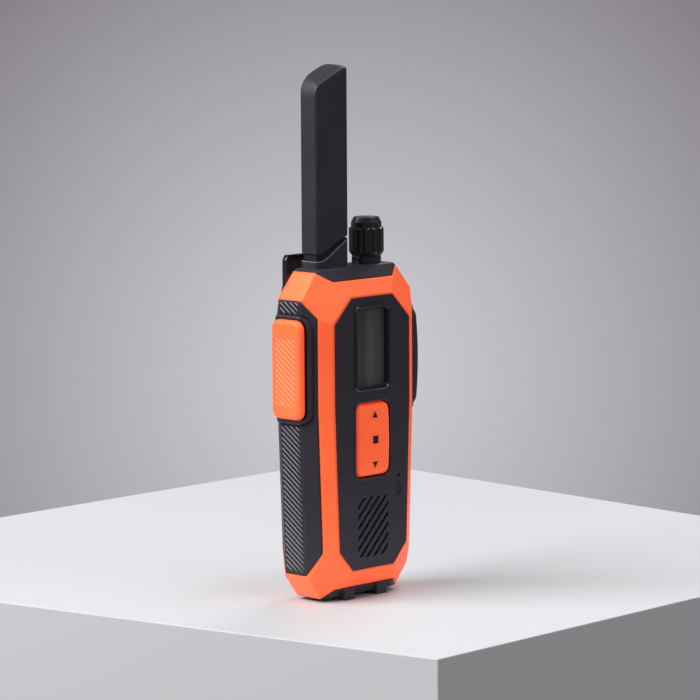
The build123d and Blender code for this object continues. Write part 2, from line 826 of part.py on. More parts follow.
with BuildPart() as key_switches:
    with BuildSketch(Plane.XZ.offset(-BOARD_FRONT)):
        with Locations((0, KEY_Z)):
            with GridLocations(1, KEY_SWITCH_STEP, 1, 3):
                RectangleRounded(4.6, 4.6, 0.5)
    extrude(amount=2.1)
    with BuildSketch(Plane.XZ.offset(-BOARD_FRONT + 2.1)):
        with Locations((0, KEY_Z)):
            with GridLocations(1, KEY_SWITCH_STEP, 1, 3):
                Circle(1.2)
    extrude(amount=0.7)
keep(key_switches, "key_switches")


# ---------------------------------------------------------------- microphone and speaker

with BuildPart() as microphone:
    add(column(MIC_X, MIC_Z, MIC_R, MIC_FRONT_Y, MIC_BACK_Y))
keep(microphone, "microphone")

with BuildPart() as microphone_gasket:
    add(column(MIC_X, MIC_Z, MIC_GASKET_R, PANEL_INNER_Y, MIC_BACK_Y - 1))
    add(column(MIC_X, MIC_Z, MIC_R, MIC_FRONT_Y, 0), mode=Mode.SUBTRACT)
    add(column(MIC_X, MIC_Z, MIC_HOLE_R, -20, 0), mode=Mode.SUBTRACT)
keep(microphone_gasket, "microphone_gasket")


def turned_about_speaker(points):
    """Solid of revolution about the speaker axis, from (depth, radius) points."""
    with BuildPart() as body:
        with BuildSketch(Plane.YZ):
            with BuildLine():
                Polyline([(y, GRILLE_Z + r) for y, r in points], close=True)
            make_face()
        revolve(axis=Axis((0, 0, GRILLE_Z), (0, 1, 0)))
    return body


speaker_mesh = turned_about_speaker([(-11.3, 0), (-11.3, 9.7), (-11.0, 9.7), (-11.0, 0)])
keep(speaker_mesh, "speaker_mesh")

speaker_frame = turned_about_speaker(
    [
        (-9.8, 9.6),
        (-9.8, SPEAKER_R),
        (-8.6, SPEAKER_R),
        (-5.6, 7.4),
        (-5.6, 0),
        (-6.2, 0),
        (-6.2, 6.8),
        (-9.0, 9.6),
    ]
)
keep(speaker_frame, "speaker_frame")

speaker_cone = turned_about_speaker(
    [(-9.4, 9.5), (-9.0, 9.5), (-7.0, 4.0), (-7.0, 0), (-7.4, 0), (-7.4, 3.8)]
)
keep(speaker_cone, "speaker_cone")

speaker_magnet = turned_about_speaker([(-5.6, 0), (-5.6, 6.0), (-3.6, 6.0), (-3.6, 0)])
keep(speaker_magnet, "speaker_magnet")


# ---------------------------------------------------------------- main board


with BuildPart() as main_board:
    with BuildSketch(Plane.XZ.offset(-BOARD_FRONT)):
        with Locations((0, (BOARD_TOP_Z + BOARD_BOTTOM_Z) / 2)):
            RectangleRounded(2 * BOARD_HALF, BOARD_TOP_Z - BOARD_BOTTOM_Z, 3.0)
        # notch for the headset jack
        with Locations((BOARD_HALF, JACK_Z)):
            Rectangle(18, 7, mode=Mode.SUBTRACT)
        with Locations(*HOUSING_SCREWS):
            Circle(BOSS_R + 0.3, mode=Mode.SUBTRACT)
        with Locations(*BOARD_SCREWS):
            Circle(BOARD_SCREW_R, mode=Mode.SUBTRACT)
    extrude(amount=-BOARD_THICK)
keep(main_board, "main_board")

with BuildPart() as shield_can:
    with BuildSketch(Plane.XZ.offset(-BOARD_BACK)):
        with Locations((-3.5, 78)):
            RectangleRounded(14, 20, 0.8)
    extrude(amount=-2.4)
    shield_top = shield_can.faces().sort_by(Axis.Y)[-1]
    fillet(shield_top.edges(), radius=0.4)
keep(shield_can, "shield_can")

with BuildPart() as board_chips:
    with BuildSketch(Plane.XZ.offset(-BOARD_FRONT)):
        with Locations((-14.5, 45), (13.0, 50)):
            Rectangle(7, 7)
        with Locations((-14.5, 34), (13.5, 30), (-14.5, 20)):
            Rectangle(4, 5)
    extrude(amount=1.1)
keep(board_chips, "board_chips")

with BuildPart() as board_screws:
    for screw_x, screw_z in BOARD_SCREWS:
        add(column(screw_x, screw_z, BOARD_SCREW_R, -6.6, BOARD_BACK))
        add(column(screw_x, screw_z, 1.5, BOARD_BACK, BOARD_BACK + 0.8))
        with Locations((screw_x, BOARD_BACK + 0.7, screw_z)):
            Box(0.4, 0.6, 1.8, mode=Mode.SUBTRACT)
            Box(1.8, 0.6, 0.4, mode=Mode.SUBTRACT)
keep(board_screws, "board_screws")

with BuildPart() as housing_screws:
    for screw_x, screw_z in HOUSING_SCREWS:
        add(column(screw_x, screw_z, SCREW_R, -7.4, HEAD_SEAT_Y))
        add(column(screw_x, screw_z, SCREW_HEAD_R, HEAD_SEAT_Y, HEAD_SEAT_Y + 1.1))
        with Locations((screw_x, 12.2, screw_z)):
            Box(0.5, 1.0, 2.4, mode=Mode.SUBTRACT)
            Box(2.4, 1.0, 0.5, mode=Mode.SUBTRACT)
keep(housing_screws, "housing_screws")


# ---------------------------------------------------------------- battery and its door

with BuildPart() as battery_pack:
    add(
        front_plate(
            2 * BAY_HALF - 0.4,
            PACK_Z[1] - PACK_Z[0],
            1.6,
            PACK_Y[0],
            PACK_Y[1],
            sum(PACK_Z) / 2,
        )
    )
    fillet(battery_pack.faces().sort_by(Axis.Y)[-1].edges(), radius=0.8)
keep(battery_pack, "battery_pack")

with BuildPart() as battery_terminals:
    with BuildSketch(Plane.XY.offset(PACK_Z[0])):
        with Locations(*[(x, 5.5) for x in TERMINAL_X]):
            Rectangle(3.4, 4.0)
    extrude(amount=-0.3)
keep(battery_terminals, "battery_terminals")

with BuildPart() as battery_contacts:
    for contact_x in TERMINAL_X:
        with BuildSketch(Plane.YZ.offset(contact_x - 1.0)):
            with BuildLine():
                Polyline(
                    (1.6, BAY_BOTTOM_Z + 0.1),
                    (7.4, BAY_BOTTOM_Z + 0.1),
                    (5.6, PACK_Z[0] - 0.35),
                    (5.2, PACK_Z[0] - 0.55),
                    (6.7, BAY_BOTTOM_Z + 0.4),
                    (1.6, BAY_BOTTOM_Z + 0.4),
                    close=True,
                )
            make_face()
        extrude(amount=2.0)
keep(battery_contacts, "battery_contacts")


with BuildPart() as battery_door:
    with BuildSketch(Plane.XZ.offset(-DOOR_INNER_Y)):
        with BuildLine():
            Polyline(door_points(0, DOOR_CORNER + CORNER_EASE), close=True)
        make_face()
    extrude(amount=-DOOR_THICK)
    hinge_edges = battery_door.edges().filter_by(Axis.X).group_by(Axis.Z)[0]
    fillet(hinge_edges, radius=HINGE_R - 0.01)
    with Locations(Location((0, HINGE_Y, HINGE_Z), (0, 90, 0))):
        Cylinder(HINGE_PIN_R + RUNNING, 40, mode=Mode.SUBTRACT)
    # slot that the latch stem travels in
    slot_low = STEM_REST_Z[0] - 0.2
    slot_high = STEM_REST_Z[1] + LATCH_TRAVEL + 0.2
    with BuildSketch(Plane.XZ.offset(-DOOR_INNER_Y)):
        with Locations((0, (slot_low + slot_high) / 2)):
            Rectangle(3.4, slot_high - slot_low)
    extrude(amount=-DOOR_THICK, mode=Mode.SUBTRACT)
keep(battery_door, "battery_door")

with BuildPart() as door_hinge_pin:
    with Locations(Location((0, HINGE_Y, HINGE_Z), (0, 90, 0))):
        Cylinder(HINGE_PIN_R, 2 * HINGE_PIN_HALF)
keep(door_hinge_pin, "door_hinge_pin")

with BuildPart() as door_latch:
    # thumb plate outside the door
    with BuildSketch(Plane.XZ.offset(-HALF_DEPTH - 0.05)):
        with Locations((0, sum(LATCH_REST_Z) / 2)):
            RectangleRounded(LATCH_WIDTH, LATCH_REST_Z[1] - LATCH_REST_Z[0], 1.2)
    extrude(amount=-0.5)
    with BuildSketch(Plane.XZ.offset(-HALF_DEPTH - 0.5)):
        with Locations((0, sum(LATCH_REST_Z) / 2)):
            with GridLocations(1, 1.3, 1, 3):
                SlotOverall(6.4, 0.7)
    extrude(amount=-0.5)
    # stem and tongue
    with BuildSketch(Plane.XZ.offset(-TONGUE_Y[1] + 0.1)):
        with Locations((0, sum(STEM_REST_Z) / 2)):
            Rectangle(3.0, STEM_REST_Z[1] - STEM_REST_Z[0])
    extrude(amount=-(HALF_DEPTH + 0.3 - TONGUE_Y[1]))
    with BuildSketch(Plane.XZ.offset(-TONGUE_Y[0])):
        with Locations((0, 60.2)):
            Rectangle(TONGUE_WIDTH, 6.0)
    extrude(amount=-(TONGUE_Y[1] - TONGUE_Y[0]))
keep(door_latch, "door_latch")


# ---------------------------------------------------------------- belt clip

CLIP_LINE = [
    (15.9, CLIP_TOP_Z),
    (15.9, 104.5),
    (20.1, 98.5),
    (20.1, 85.5),
    (16.7, 74.0),
    (14.6, 69.6),
    (16.6, CLIP_BOTTOM_Z),
]

with BuildPart() as belt_clip:
    with BuildSketch(Plane.YZ):
        with BuildLine():
            FilletPolyline(CLIP_LINE, radius=2.5)
        trace(line_width=CLIP_THICK)
    extrude(amount=CLIP_HALF, both=True)
    with BuildSketch(Plane.XZ.offset(-40)) as clip_outline:
        with BuildLine():
            Polyline(
                mirrored(
                    [
                        (CLIP_HALF, CLIP_TOP_Z + 0.6),
                        (CLIP_HALF, CLIP_NECK_Z + 5),
                        (CLIP_WAIST, CLIP_NECK_Z),
                        (CLIP_WAIST, CLIP_BOTTOM_Z - 0.6),
                    ]
                ),
                close=True,
            )
        make_face()
        fillet(clip_outline.vertices(), radius=3.0)
    extrude(amount=40, mode=Mode.INTERSECT)
    for ear_x in (-EAR_INNER_X - EAR_THICK, EAR_INNER_X):
        with BuildSketch(Plane.YZ.offset(ear_x)):
            with Locations((PIVOT_Y, PIVOT_Z)):
                Circle(EAR_R)
                Rectangle(3.0, 2 * EAR_R, align=(Align.MIN, Align.CENTER))
        extrude(amount=EAR_THICK)
    with Locations(Location((0, PIVOT_Y, PIVOT_Z), (0, 90, 0))):
        Cylinder(PIN_R + RUNNING, 60, mode=Mode.SUBTRACT)
keep(belt_clip, "belt_clip")

with BuildPart() as clip_bracket:
    with BuildSketch(Plane.XZ.offset(-HALF_DEPTH)):
        with Locations((0, PIVOT_Z)):
            RectangleRounded(12.6, 18.6, 2.0)
    extrude(amount=-1.3)
    for knuckle_x in (-EAR_INNER_X + 0.2, KNUCKLE_IN_X):
        with BuildSketch(Plane.YZ.offset(knuckle_x)):
            with Locations((PIVOT_Y, PIVOT_Z)):
                Circle(EAR_R)
                Rectangle(3.5, 2 * EAR_R, align=(Align.MAX, Align.CENTER))
        extrude(amount=EAR_INNER_X - 0.2 - KNUCKLE_IN_X)
    with Locations(Location((0, PIVOT_Y, PIVOT_Z), (0, 90, 0))):
        Cylinder(PIN_R, 60, mode=Mode.SUBTRACT)
    for screw_z in BRACKET_SCREWS:
        add(column(0, screw_z, SCREW_R + 0.1, 0, 30), mode=Mode.SUBTRACT)
        add(column(0, screw_z, SCREW_HEAD_R, HALF_DEPTH + 0.5, 30), mode=Mode.SUBTRACT)
keep(clip_bracket, "clip_bracket")

with BuildPart() as bracket_screws:
    for screw_z in BRACKET_SCREWS:
        add(column(0, screw_z, SCREW_R, 9.2, HALF_DEPTH + 0.5))
        add(column(0, screw_z, 1.8, HALF_DEPTH + 0.5, HALF_DEPTH + 1.2))
        with Locations((0, HALF_DEPTH + 1.2, screw_z)):
            Box(0.5, 0.9, 2.4, mode=Mode.SUBTRACT)
            Box(2.4, 0.9, 0.5, mode=Mode.SUBTRACT)
keep(bracket_screws, "bracket_screws")

with BuildPart() as clip_pin:
    with Locations(Location((0, PIVOT_Y, PIVOT_Z), (0, 90, 0))):
        Cylinder(PIN_R, 2 * (EAR_INNER_X + EAR_THICK) + 0.4)
keep(clip_pin, "clip_pin")

with BuildPart() as clip_spring:
    with BuildLine() as coil:
        Helix(
            pitch=0.75,
            height=4.5,
            radius=SPRING_R,
            center=(-2.25, PIVOT_Y, PIVOT_Z),
            direction=(1, 0, 0),
        )
    with BuildSketch(Plane(origin=coil.line @ 0, z_dir=coil.line % 0)):
        Circle(SPRING_WIRE_R)
    sweep()
keep(clip_spring, "clip_spring")


# ---------------------------------------------------------------- antenna


def antenna_bar(grow, z_low, z_high):
    """Upright bar with the antenna's cross-section, flat on the left and bowed on the right."""
    left = ANTENNA_LEFT - grow
    right = ANTENNA_RIGHT + grow
    half = ANTENNA_HALF_Y + grow
    with BuildPart() as bar:
        with BuildSketch(Plane.XY.offset(z_low)) as section:
            with BuildLine():
                Polyline((right, -half), (left, -half), (left, half), (right, half))
                ThreePointArc((right, half), (right + RIGHT_BULGE, 0), (right, -half))
            make_face()
            fillet(section.vertices().group_by(Axis.X)[0], radius=ANTENNA_CORNER + grow)
            fillet(section.vertices().group_by(Axis.X)[-1], radius=0.6)
        extrude(amount=z_high - z_low)
    return bar.part


def above_curve(start_z, middle_z, end_z, end_slope):
    """Everything above a curve that starts level on the left and sweeps up to the right."""
    with BuildPart() as region:
        with BuildSketch(Plane.XZ.offset(-20)):
            with BuildLine():
                Line((-30, start_z), (-16.3, start_z))
                Spline(
                    (-16.3, start_z),
                    (ANTENNA_X + 0.2, middle_z),
                    (-1.0, end_z),
                    tangents=[(1, 0), (1, end_slope)],
                )
                Polyline((-1.0, end_z), (5, end_z), (5, 200), (-30, 200), (-30, start_z))
            make_face()
        extrude(amount=40)
    return region.part


with BuildPart() as antenna_collar:
    add(antenna_bar(0, TOP_Z, NECK_TOP_Z))
    add(above_curve(114.4, 116.9, 121.9, 0.55), mode=Mode.SUBTRACT)
    add(antenna_bar(-NECK_INSET, TOP_Z, NECK_TOP_Z), mode=Mode.SUBTRACT)
keep(antenna_collar, "antenna_collar")

with BuildPart() as antenna_neck:
    add(antenna_bar(-NECK_INSET, TOP_Z, NECK_TOP_Z))
    with Locations((ANTENNA_X, 0, TOP_Z)):
        Cylinder(STEM_R, 40, mode=Mode.SUBTRACT)
keep(antenna_neck, "antenna_neck")

with BuildPart() as antenna_blade:
    add(antenna_bar(0, TOP_Z, ANTENNA_TIP_Z + 2))
    add(above_curve(117.1, 119.6, 122.9, 0.4), mode=Mode.INTERSECT)
    # rounded crown, higher on the right
    with BuildSketch(Plane.XZ.offset(-20)):
        with BuildLine():
            Line((ANTENNA_LEFT, TOP_Z), (ANTENNA_LEFT, TIP_SHOULDER_Z))
            Spline(
                (ANTENNA_LEFT, TIP_SHOULDER_Z),
                (ANTENNA_LEFT + 2.5, ANTENNA_TIP_Z - 4.6),
                (ANTENNA_LEFT + 8.5, ANTENNA_TIP_Z - 0.9),
                (ANTENNA_RIGHT + 4, ANTENNA_TIP_Z),
                tangents=[(0, 1), (1, 0)],
            )
            Polyline(
                (ANTENNA_RIGHT + 4, ANTENNA_TIP_Z),
                (ANTENNA_RIGHT + 4, TOP_Z),
                (ANTENNA_LEFT, TOP_Z),
            )
        make_face()
    extrude(amount=40, mode=Mode.INTERSECT)
    # flat cut that slopes down to the front left
    tip_corner = (ANTENNA_RIGHT, -ANTENNA_HALF_Y, TIP_FRONT_Z)
    with BuildSketch(Plane(origin=tip_corner, z_dir=(-TIP_SLANT, -TIP_TILT, 1))):
        Rectangle(80, 80)
    extrude(amount=20, mode=Mode.SUBTRACT)
    add(antenna_bar(-NECK_INSET, TOP_Z, NECK_TOP_Z), mode=Mode.SUBTRACT)
    with BuildSketch(Plane.XY.offset(NECK_TOP_Z)):
        with Locations((ANTENNA_X, 0)):
            Circle(COIL_BORE_R)
    extrude(amount=COIL_TOP_Z - NECK_TOP_Z, mode=Mode.SUBTRACT)
keep(antenna_blade, "antenna_blade")

with BuildPart() as antenna_stud:
    with Locations((ANTENNA_X, 0, STUD_BOTTOM_Z)):
        Cylinder(STEM_R, NECK_TOP_Z - STUD_BOTTOM_Z, align=(Align.CENTER, Align.CENTER, Align.MIN))
    with Locations((ANTENNA_X, 0, TOP_Z)):
        Cylinder(STUD_FLANGE_R, SKIN + WALL, align=(Align.CENTER, Align.CENTER, Align.MAX))
    with Locations((ANTENNA_X, 0, TOP_Z - SKIN - WALL)):
        Cylinder(STUD_HEAD_R, 1.2, align=(Align.CENTER, Align.CENTER, Align.MAX))
keep(antenna_stud, "antenna_stud")

with BuildPart() as antenna_coil:
    with BuildLine() as winding:
        Helix(pitch=3.5, height=35, radius=2.2, center=(ANTENNA_X, 0, NECK_TOP_Z + 0.6))
    with BuildSketch(Plane(origin=winding.line @ 0, z_dir=winding.line % 0)):
        Circle(0.4)
    sweep()
keep(antenna_coil, "antenna_coil")


# ---------------------------------------------------------------- volume control


with BuildPart() as volume_pot:
    with BuildSketch(Plane.XY.offset(POT_Z[0])):
        with Locations((KNOB_X, 0)):
            RectangleRounded(9.4, 9.4, 0.8)
    extrude(amount=POT_Z[1] - POT_Z[0])
    with Locations((KNOB_X, 0, POT_Z[1])):
        Cylinder(BUSHING_R, 113.8 - POT_Z[1], align=UP)
    with Locations((KNOB_X, 0, POT_Z[0] + 1.5)):
        Cylinder(BORE_R, 30, align=UP, mode=Mode.SUBTRACT)
keep(volume_pot, "volume_pot")

with BuildPart() as volume_shaft:
    with Locations((KNOB_X, 0, POT_Z[0] + 1.6)):
        Cylinder(SHAFT_R, SHAFT_TOP_Z - POT_Z[0] - 1.6, align=UP)
keep(volume_shaft, "volume_shaft")

with BuildPart() as shaft_nut:
    with Locations((KNOB_X, 0, TOP_Z)):
        Cylinder(5.0, NUT_TOP_Z - TOP_Z, align=UP)
        Cylinder(BUSHING_R, 10, align=UP, mode=Mode.SUBTRACT)
    chamfer(shaft_nut.edges().filter_by(GeomType.CIRCLE).sort_by(Axis.Z)[-1], 0.3)
keep(shaft_nut, "shaft_nut")

with BuildPart() as knob_marker:
    with BuildSketch(Plane.XY.offset(KNOB_TOP_Z)):
        with Locations((KNOB_X, -2.6)):
            SlotOverall(2.6, 0.7, rotation=90)
    extrude(amount=-MARKER_DEPTH)
keep(knob_marker, "knob_marker")

with BuildPart() as volume_knob:
    with BuildSketch(Plane.XY.offset(KNOB_Z)):
        with Locations((KNOB_X, 0)):
            Circle(KNOB_R)
            with PolarLocations(KNOB_R + FLUTE_R - FLUTE_DEPTH, FLUTES):
                Circle(FLUTE_R, mode=Mode.SUBTRACT)
    extrude(amount=KNOB_SHOULDER_Z - KNOB_Z)
    # both ends of the fluted grip are bevelled
    with BuildSketch(Plane.XZ):
        with BuildLine():
            Polyline(
                (KNOB_X, KNOB_Z),
                (KNOB_X + KNOB_R - 1.0, KNOB_Z),
                (KNOB_X + KNOB_R, KNOB_Z + 1.5),
                (KNOB_X + KNOB_R, KNOB_SHOULDER_Z - 0.5),
                (KNOB_X + KNOB_R - 0.5, KNOB_SHOULDER_Z),
                (KNOB_X, KNOB_SHOULDER_Z),
                close=True,
            )
        make_face()
    revolve(axis=Axis((KNOB_X, 0, 0), (0, 0, 1)), mode=Mode.INTERSECT)
    # faceted cap, one facet per lobe
    with BuildSketch(Plane.XY.offset(KNOB_SHOULDER_Z - 0.2)):
        with Locations((KNOB_X, 0)):
            RegularPolygon(radius=CAP_R, side_count=FLUTES)
    extrude(amount=CAP_BEND_Z - KNOB_SHOULDER_Z + 0.2)
    with BuildSketch(Plane.XY.offset(CAP_BEND_Z)):
        with Locations((KNOB_X, 0)):
            RegularPolygon(radius=CAP_R, side_count=FLUTES)
    extrude(amount=KNOB_TOP_Z - CAP_BEND_Z, taper=CAP_TAPER)
    with Locations((KNOB_X, 0, KNOB_Z)):
        Cylinder(SHAFT_R, SHAFT_TOP_Z - KNOB_Z, align=UP, mode=Mode.SUBTRACT)
    add(knob_marker.part, mode=Mode.SUBTRACT)
keep(volume_knob, "volume_knob")


# ---------------------------------------------------------------- push-to-talk


with BuildPart() as ptt_button:
    add(side_prism(-1, BUTTON_BACK_X, BUTTON_X, SIDE_WIDTH, SIDE_HEIGHT, BUTTON_CORNER))
    fillet(ptt_button.faces().sort_by(Axis.X)[0].edges(), radius=0.9)
    with BuildSketch(Plane.YZ.offset(-BUTTON_BACK_X)):
        with Locations((0, SIDE_Z)):
            Circle(STEM_R)
    extrude(amount=BUTTON_BACK_X - STEM_END_X)
keep(ptt_button, "ptt_button")

with BuildPart() as ptt_plunger:
    with BuildSketch(Plane.YZ.offset(-STEM_END_X)):
        with Locations((0, SIDE_Z)):
            Circle(PLUNGER_R)
    extrude(amount=PLUNGER_LENGTH)
keep(ptt_plunger, "ptt_plunger")

with BuildPart() as ptt_seal:
    with BuildSketch(Plane.YZ.offset(-CORE_SIDE_X)):
        with Locations((0, SIDE_Z)):
            Circle(4.5)
            Circle(STEM_R + RUNNING, mode=Mode.SUBTRACT)
    extrude(amount=-0.3)
keep(ptt_seal, "ptt_seal")

with BuildPart() as ptt_switch:
    with Locations((-18.0, 0, SIDE_Z)):
        Box(4.4, 3.6, 6.0)
    with BuildSketch(Plane.YZ.offset(-20.2)):
        with Locations((0, SIDE_Z)):
            Circle(PLUNGER_R + RUNNING)
    extrude(amount=2.6, mode=Mode.SUBTRACT)
keep(ptt_switch, "ptt_switch")


# ---------------------------------------------------------------- headset jack, charging port, cover

with BuildPart() as headset_jack:
    with Locations((18.1, 0, JACK_Z)):
        Box(11.0, 6.0, 6.2)
    with BuildSketch(Plane.YZ.offset(23.6)):
        with Locations((0, JACK_Z)):
            Circle(JACK_COLLAR_R)
    extrude(amount=CORE_SIDE_X - 0.1 - 23.6)
    with BuildSketch(Plane.YZ.offset(CORE_SIDE_X)):
        with Locations((0, JACK_Z)):
            Circle(JACK_R)
    extrude(amount=-JACK_DEPTH, mode=Mode.SUBTRACT)
keep(headset_jack, "headset_jack")

with BuildPart() as charging_port:
    with BuildSketch(Plane.YZ.offset(CORE_SIDE_X - 0.1)):
        with Locations((0, PORT_Z)):
            RectangleRounded(3.2, 9.0, 1.5)
            RectangleRounded(2.6, 8.4, 1.25, mode=Mode.SUBTRACT)
    extrude(amount=-7.4)
    with BuildSketch(Plane.YZ.offset(CORE_SIDE_X - 7.5)):
        with Locations((0, PORT_Z)):
            RectangleRounded(3.2, 9.0, 1.5)
    extrude(amount=-0.5)
    with Locations((CORE_SIDE_X - 5.0, 0, PORT_Z)):
        Box(6.0, 0.7, 6.6)
keep(charging_port, "charging_port")

with BuildPart() as jack_cover:
    add(side_prism(1, COVER_BACK_X, 30, SIDE_WIDTH, SIDE_HEIGHT, BUTTON_CORNER))
    with BuildSketch(Plane.XZ):
        with Locations((COVER_TOP_X - COVER_CROWN_R, SIDE_Z)):
            Circle(COVER_CROWN_R)
    extrude(amount=20, both=True, mode=Mode.INTERSECT)
    fillet(jack_cover.faces().sort_by(Axis.X)[-1].edges(), radius=0.7)
    # knuckle along the rear edge, and the web that joins it to the flap
    knuckle_length = SIDE_HEIGHT - 4.8
    with BuildSketch(Plane.XY.offset(SIDE_Z - knuckle_length / 2)):
        with Locations((COVER_AXIS_X, COVER_AXIS_Y)):
            Circle(KNUCKLE_R)
        with Locations((COVER_AXIS_X, COVER_AXIS_Y - 1.0)):
            Rectangle(2 * KNUCKLE_R, 2.0)
    extrude(amount=knuckle_length)
    # boss that enters the mouth of the jack's recess
    with BuildSketch(Plane.YZ.offset(COVER_BACK_X)):
        with Locations((0, JACK_Z)):
            Circle(1.3)
    extrude(amount=-0.5)
keep(jack_cover, "jack_cover")
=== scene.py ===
import json
import math

import bmesh
import bpy
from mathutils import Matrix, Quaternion, Vector
from mathutils.bvhtree import BVHTree

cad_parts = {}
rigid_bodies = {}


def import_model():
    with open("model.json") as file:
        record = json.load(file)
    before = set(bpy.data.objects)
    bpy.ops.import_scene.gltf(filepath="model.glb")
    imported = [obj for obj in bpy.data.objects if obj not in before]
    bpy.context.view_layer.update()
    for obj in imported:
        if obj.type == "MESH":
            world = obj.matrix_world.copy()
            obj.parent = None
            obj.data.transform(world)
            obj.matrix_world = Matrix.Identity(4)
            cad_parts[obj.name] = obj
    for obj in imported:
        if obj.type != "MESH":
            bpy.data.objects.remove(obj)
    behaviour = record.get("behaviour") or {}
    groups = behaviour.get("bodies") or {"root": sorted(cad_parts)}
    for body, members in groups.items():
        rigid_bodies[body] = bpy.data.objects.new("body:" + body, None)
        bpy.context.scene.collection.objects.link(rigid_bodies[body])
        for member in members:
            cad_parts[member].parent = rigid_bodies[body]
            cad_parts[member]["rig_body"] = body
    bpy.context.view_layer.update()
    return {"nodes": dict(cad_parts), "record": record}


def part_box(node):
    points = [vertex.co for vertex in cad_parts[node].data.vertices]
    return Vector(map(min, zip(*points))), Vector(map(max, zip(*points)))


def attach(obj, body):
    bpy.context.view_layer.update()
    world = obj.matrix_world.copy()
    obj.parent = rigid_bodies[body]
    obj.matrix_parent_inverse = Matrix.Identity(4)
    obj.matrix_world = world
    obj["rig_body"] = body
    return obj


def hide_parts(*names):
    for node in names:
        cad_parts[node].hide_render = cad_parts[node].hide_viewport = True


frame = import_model()

MM = 0.001
SLOT_OF = {row["node"]: row["material_slot"] for row in frame["record"]["subparts"]}

# Colours are linear values
ORANGE = (1.0, 0.268, 0.085)
ORANGE_WORN = (1.0, 0.42, 0.22)
ORANGE_PAINTED_GLOW = (1.0, 0.012, 0.0)  # painted glow: the orange gives off light, though it is no lamp, to lift its shaded faces
# strengths of the painted glow, as the camera sees it and as it lights other things
PAINTED_GLOW_SEEN = 0.50
PAINTED_GLOW_CAST = 0.18
CHARCOAL = (0.040, 0.035, 0.049)
CHARCOAL_LIGHT = (0.095, 0.088, 0.105)
# painted shade between the flank's ribs
RIB_PAINTED_SHADE = (0.022, 0.020, 0.027)

# Sizes of the surface patterns
CLOUD_SIZE = 18.0 * MM
PATCH_SIZE = 4.0 * MM
SCUFF_SIZE = 2.2 * MM
SMUDGE_SIZE = 6.0 * MM
BRUSH_SIZE = 0.4 * MM
THREAD_PITCH = 0.4 * MM
WORN_AND_LIT_EDGE = 0.5 * MM  # how far the lighter edge reaches from an edge: rubbed wear, partly painted highlight

# ---------------------------------------------------------------- material building blocks


class Finish:
    """One material's node tree, with short calls for the parts it is made of."""

    def __init__(self, name):
        self.material = bpy.data.materials.new(name)
        self.material.use_nodes = True
        self.tree = self.material.node_tree
        self.bsdf = self.tree.nodes["Principled BSDF"]
        self.place = self.node("ShaderNodeTexCoord").outputs["Object"]
        self.normal = None

    def node(self, kind, **settings):
        made = self.tree.nodes.new(kind)
        for key, value in settings.items():
            setattr(made, key, value)
        return made

    def link(self, source, target):
        self.tree.links.new(source, target)

    def put(self, key, value):
        if hasattr(value, "is_linked"):
            self.link(value, self.bsdf.inputs[key])
        else:
            self.bsdf.inputs[key].default_value = value

    def noise(self, size, detail=3.0, stretch=None):
        """Noise with features of about this size."""
        source = self.place
        if stretch:
            mapping = self.node("ShaderNodeMapping")
            mapping.inputs["Scale"].default_value = stretch
            self.link(source, mapping.inputs["Vector"])
            source = mapping.outputs["Vector"]
        made = self.node("ShaderNodeTexNoise")
        made.inputs["Scale"].default_value = 1.0 / size
        made.inputs["Detail"].default_value = detail
        self.link(source, made.inputs["Vector"])
        return made.outputs["Fac"]

    def span(self, value, low, high, out_low, out_high):
        made = self.node("ShaderNodeMapRange")
        for key, number in zip(
            ("From Min", "From Max", "To Min", "To Max"),
            (low, high, out_low, out_high),
        ):
            made.inputs[key].default_value = number
        self.link(value, made.inputs["Value"])
        return made.outputs["Result"]

    def blend(self, share, first, second):
        made = self.node("ShaderNodeMix", data_type="RGBA")
        self.link(share, made.inputs[0])
        for socket, colour in ((made.inputs[6], first), (made.inputs[7], second)):
            if hasattr(colour, "is_linked"):
                self.link(colour, socket)
            else:
                socket.default_value = (*colour, 1.0)
        return made.outputs[2]

    def bump(self, height, depth, strength=1.0):
        made = self.node("ShaderNodeBump")
        made.inputs["Distance"].default_value = depth
        made.inputs["Strength"].default_value = strength
        self.link(height, made.inputs["Height"])
        if self.normal is not None:
            self.link(self.normal, made.inputs["Normal"])
        self.normal = made.outputs["Normal"]
        self.put("Normal", self.normal)

    def round_edges(self, radius):
        """Shade edges as if they were rounded by this radius."""
        rounded = self.node("ShaderNodeBevel", samples=8)
        rounded.inputs["Radius"].default_value = radius
        self.normal = rounded.outputs["Normal"]

    def edge_mask(self, radius):
        """Rises from 0 on flat faces to 1 along sharp edges."""
        rounded = self.node("ShaderNodeBevel", samples=4)
        rounded.inputs["Radius"].default_value = radius
        shape = self.node("ShaderNodeNewGeometry")
        dot = self.node("ShaderNodeVectorMath", operation="DOT_PRODUCT")
        self.link(rounded.outputs["Normal"], dot.inputs[0])
        self.link(shape.outputs["Normal"], dot.inputs[1])
        return self.span(dot.outputs["Value"], 0.998, 0.90, 0.0, 1.0)


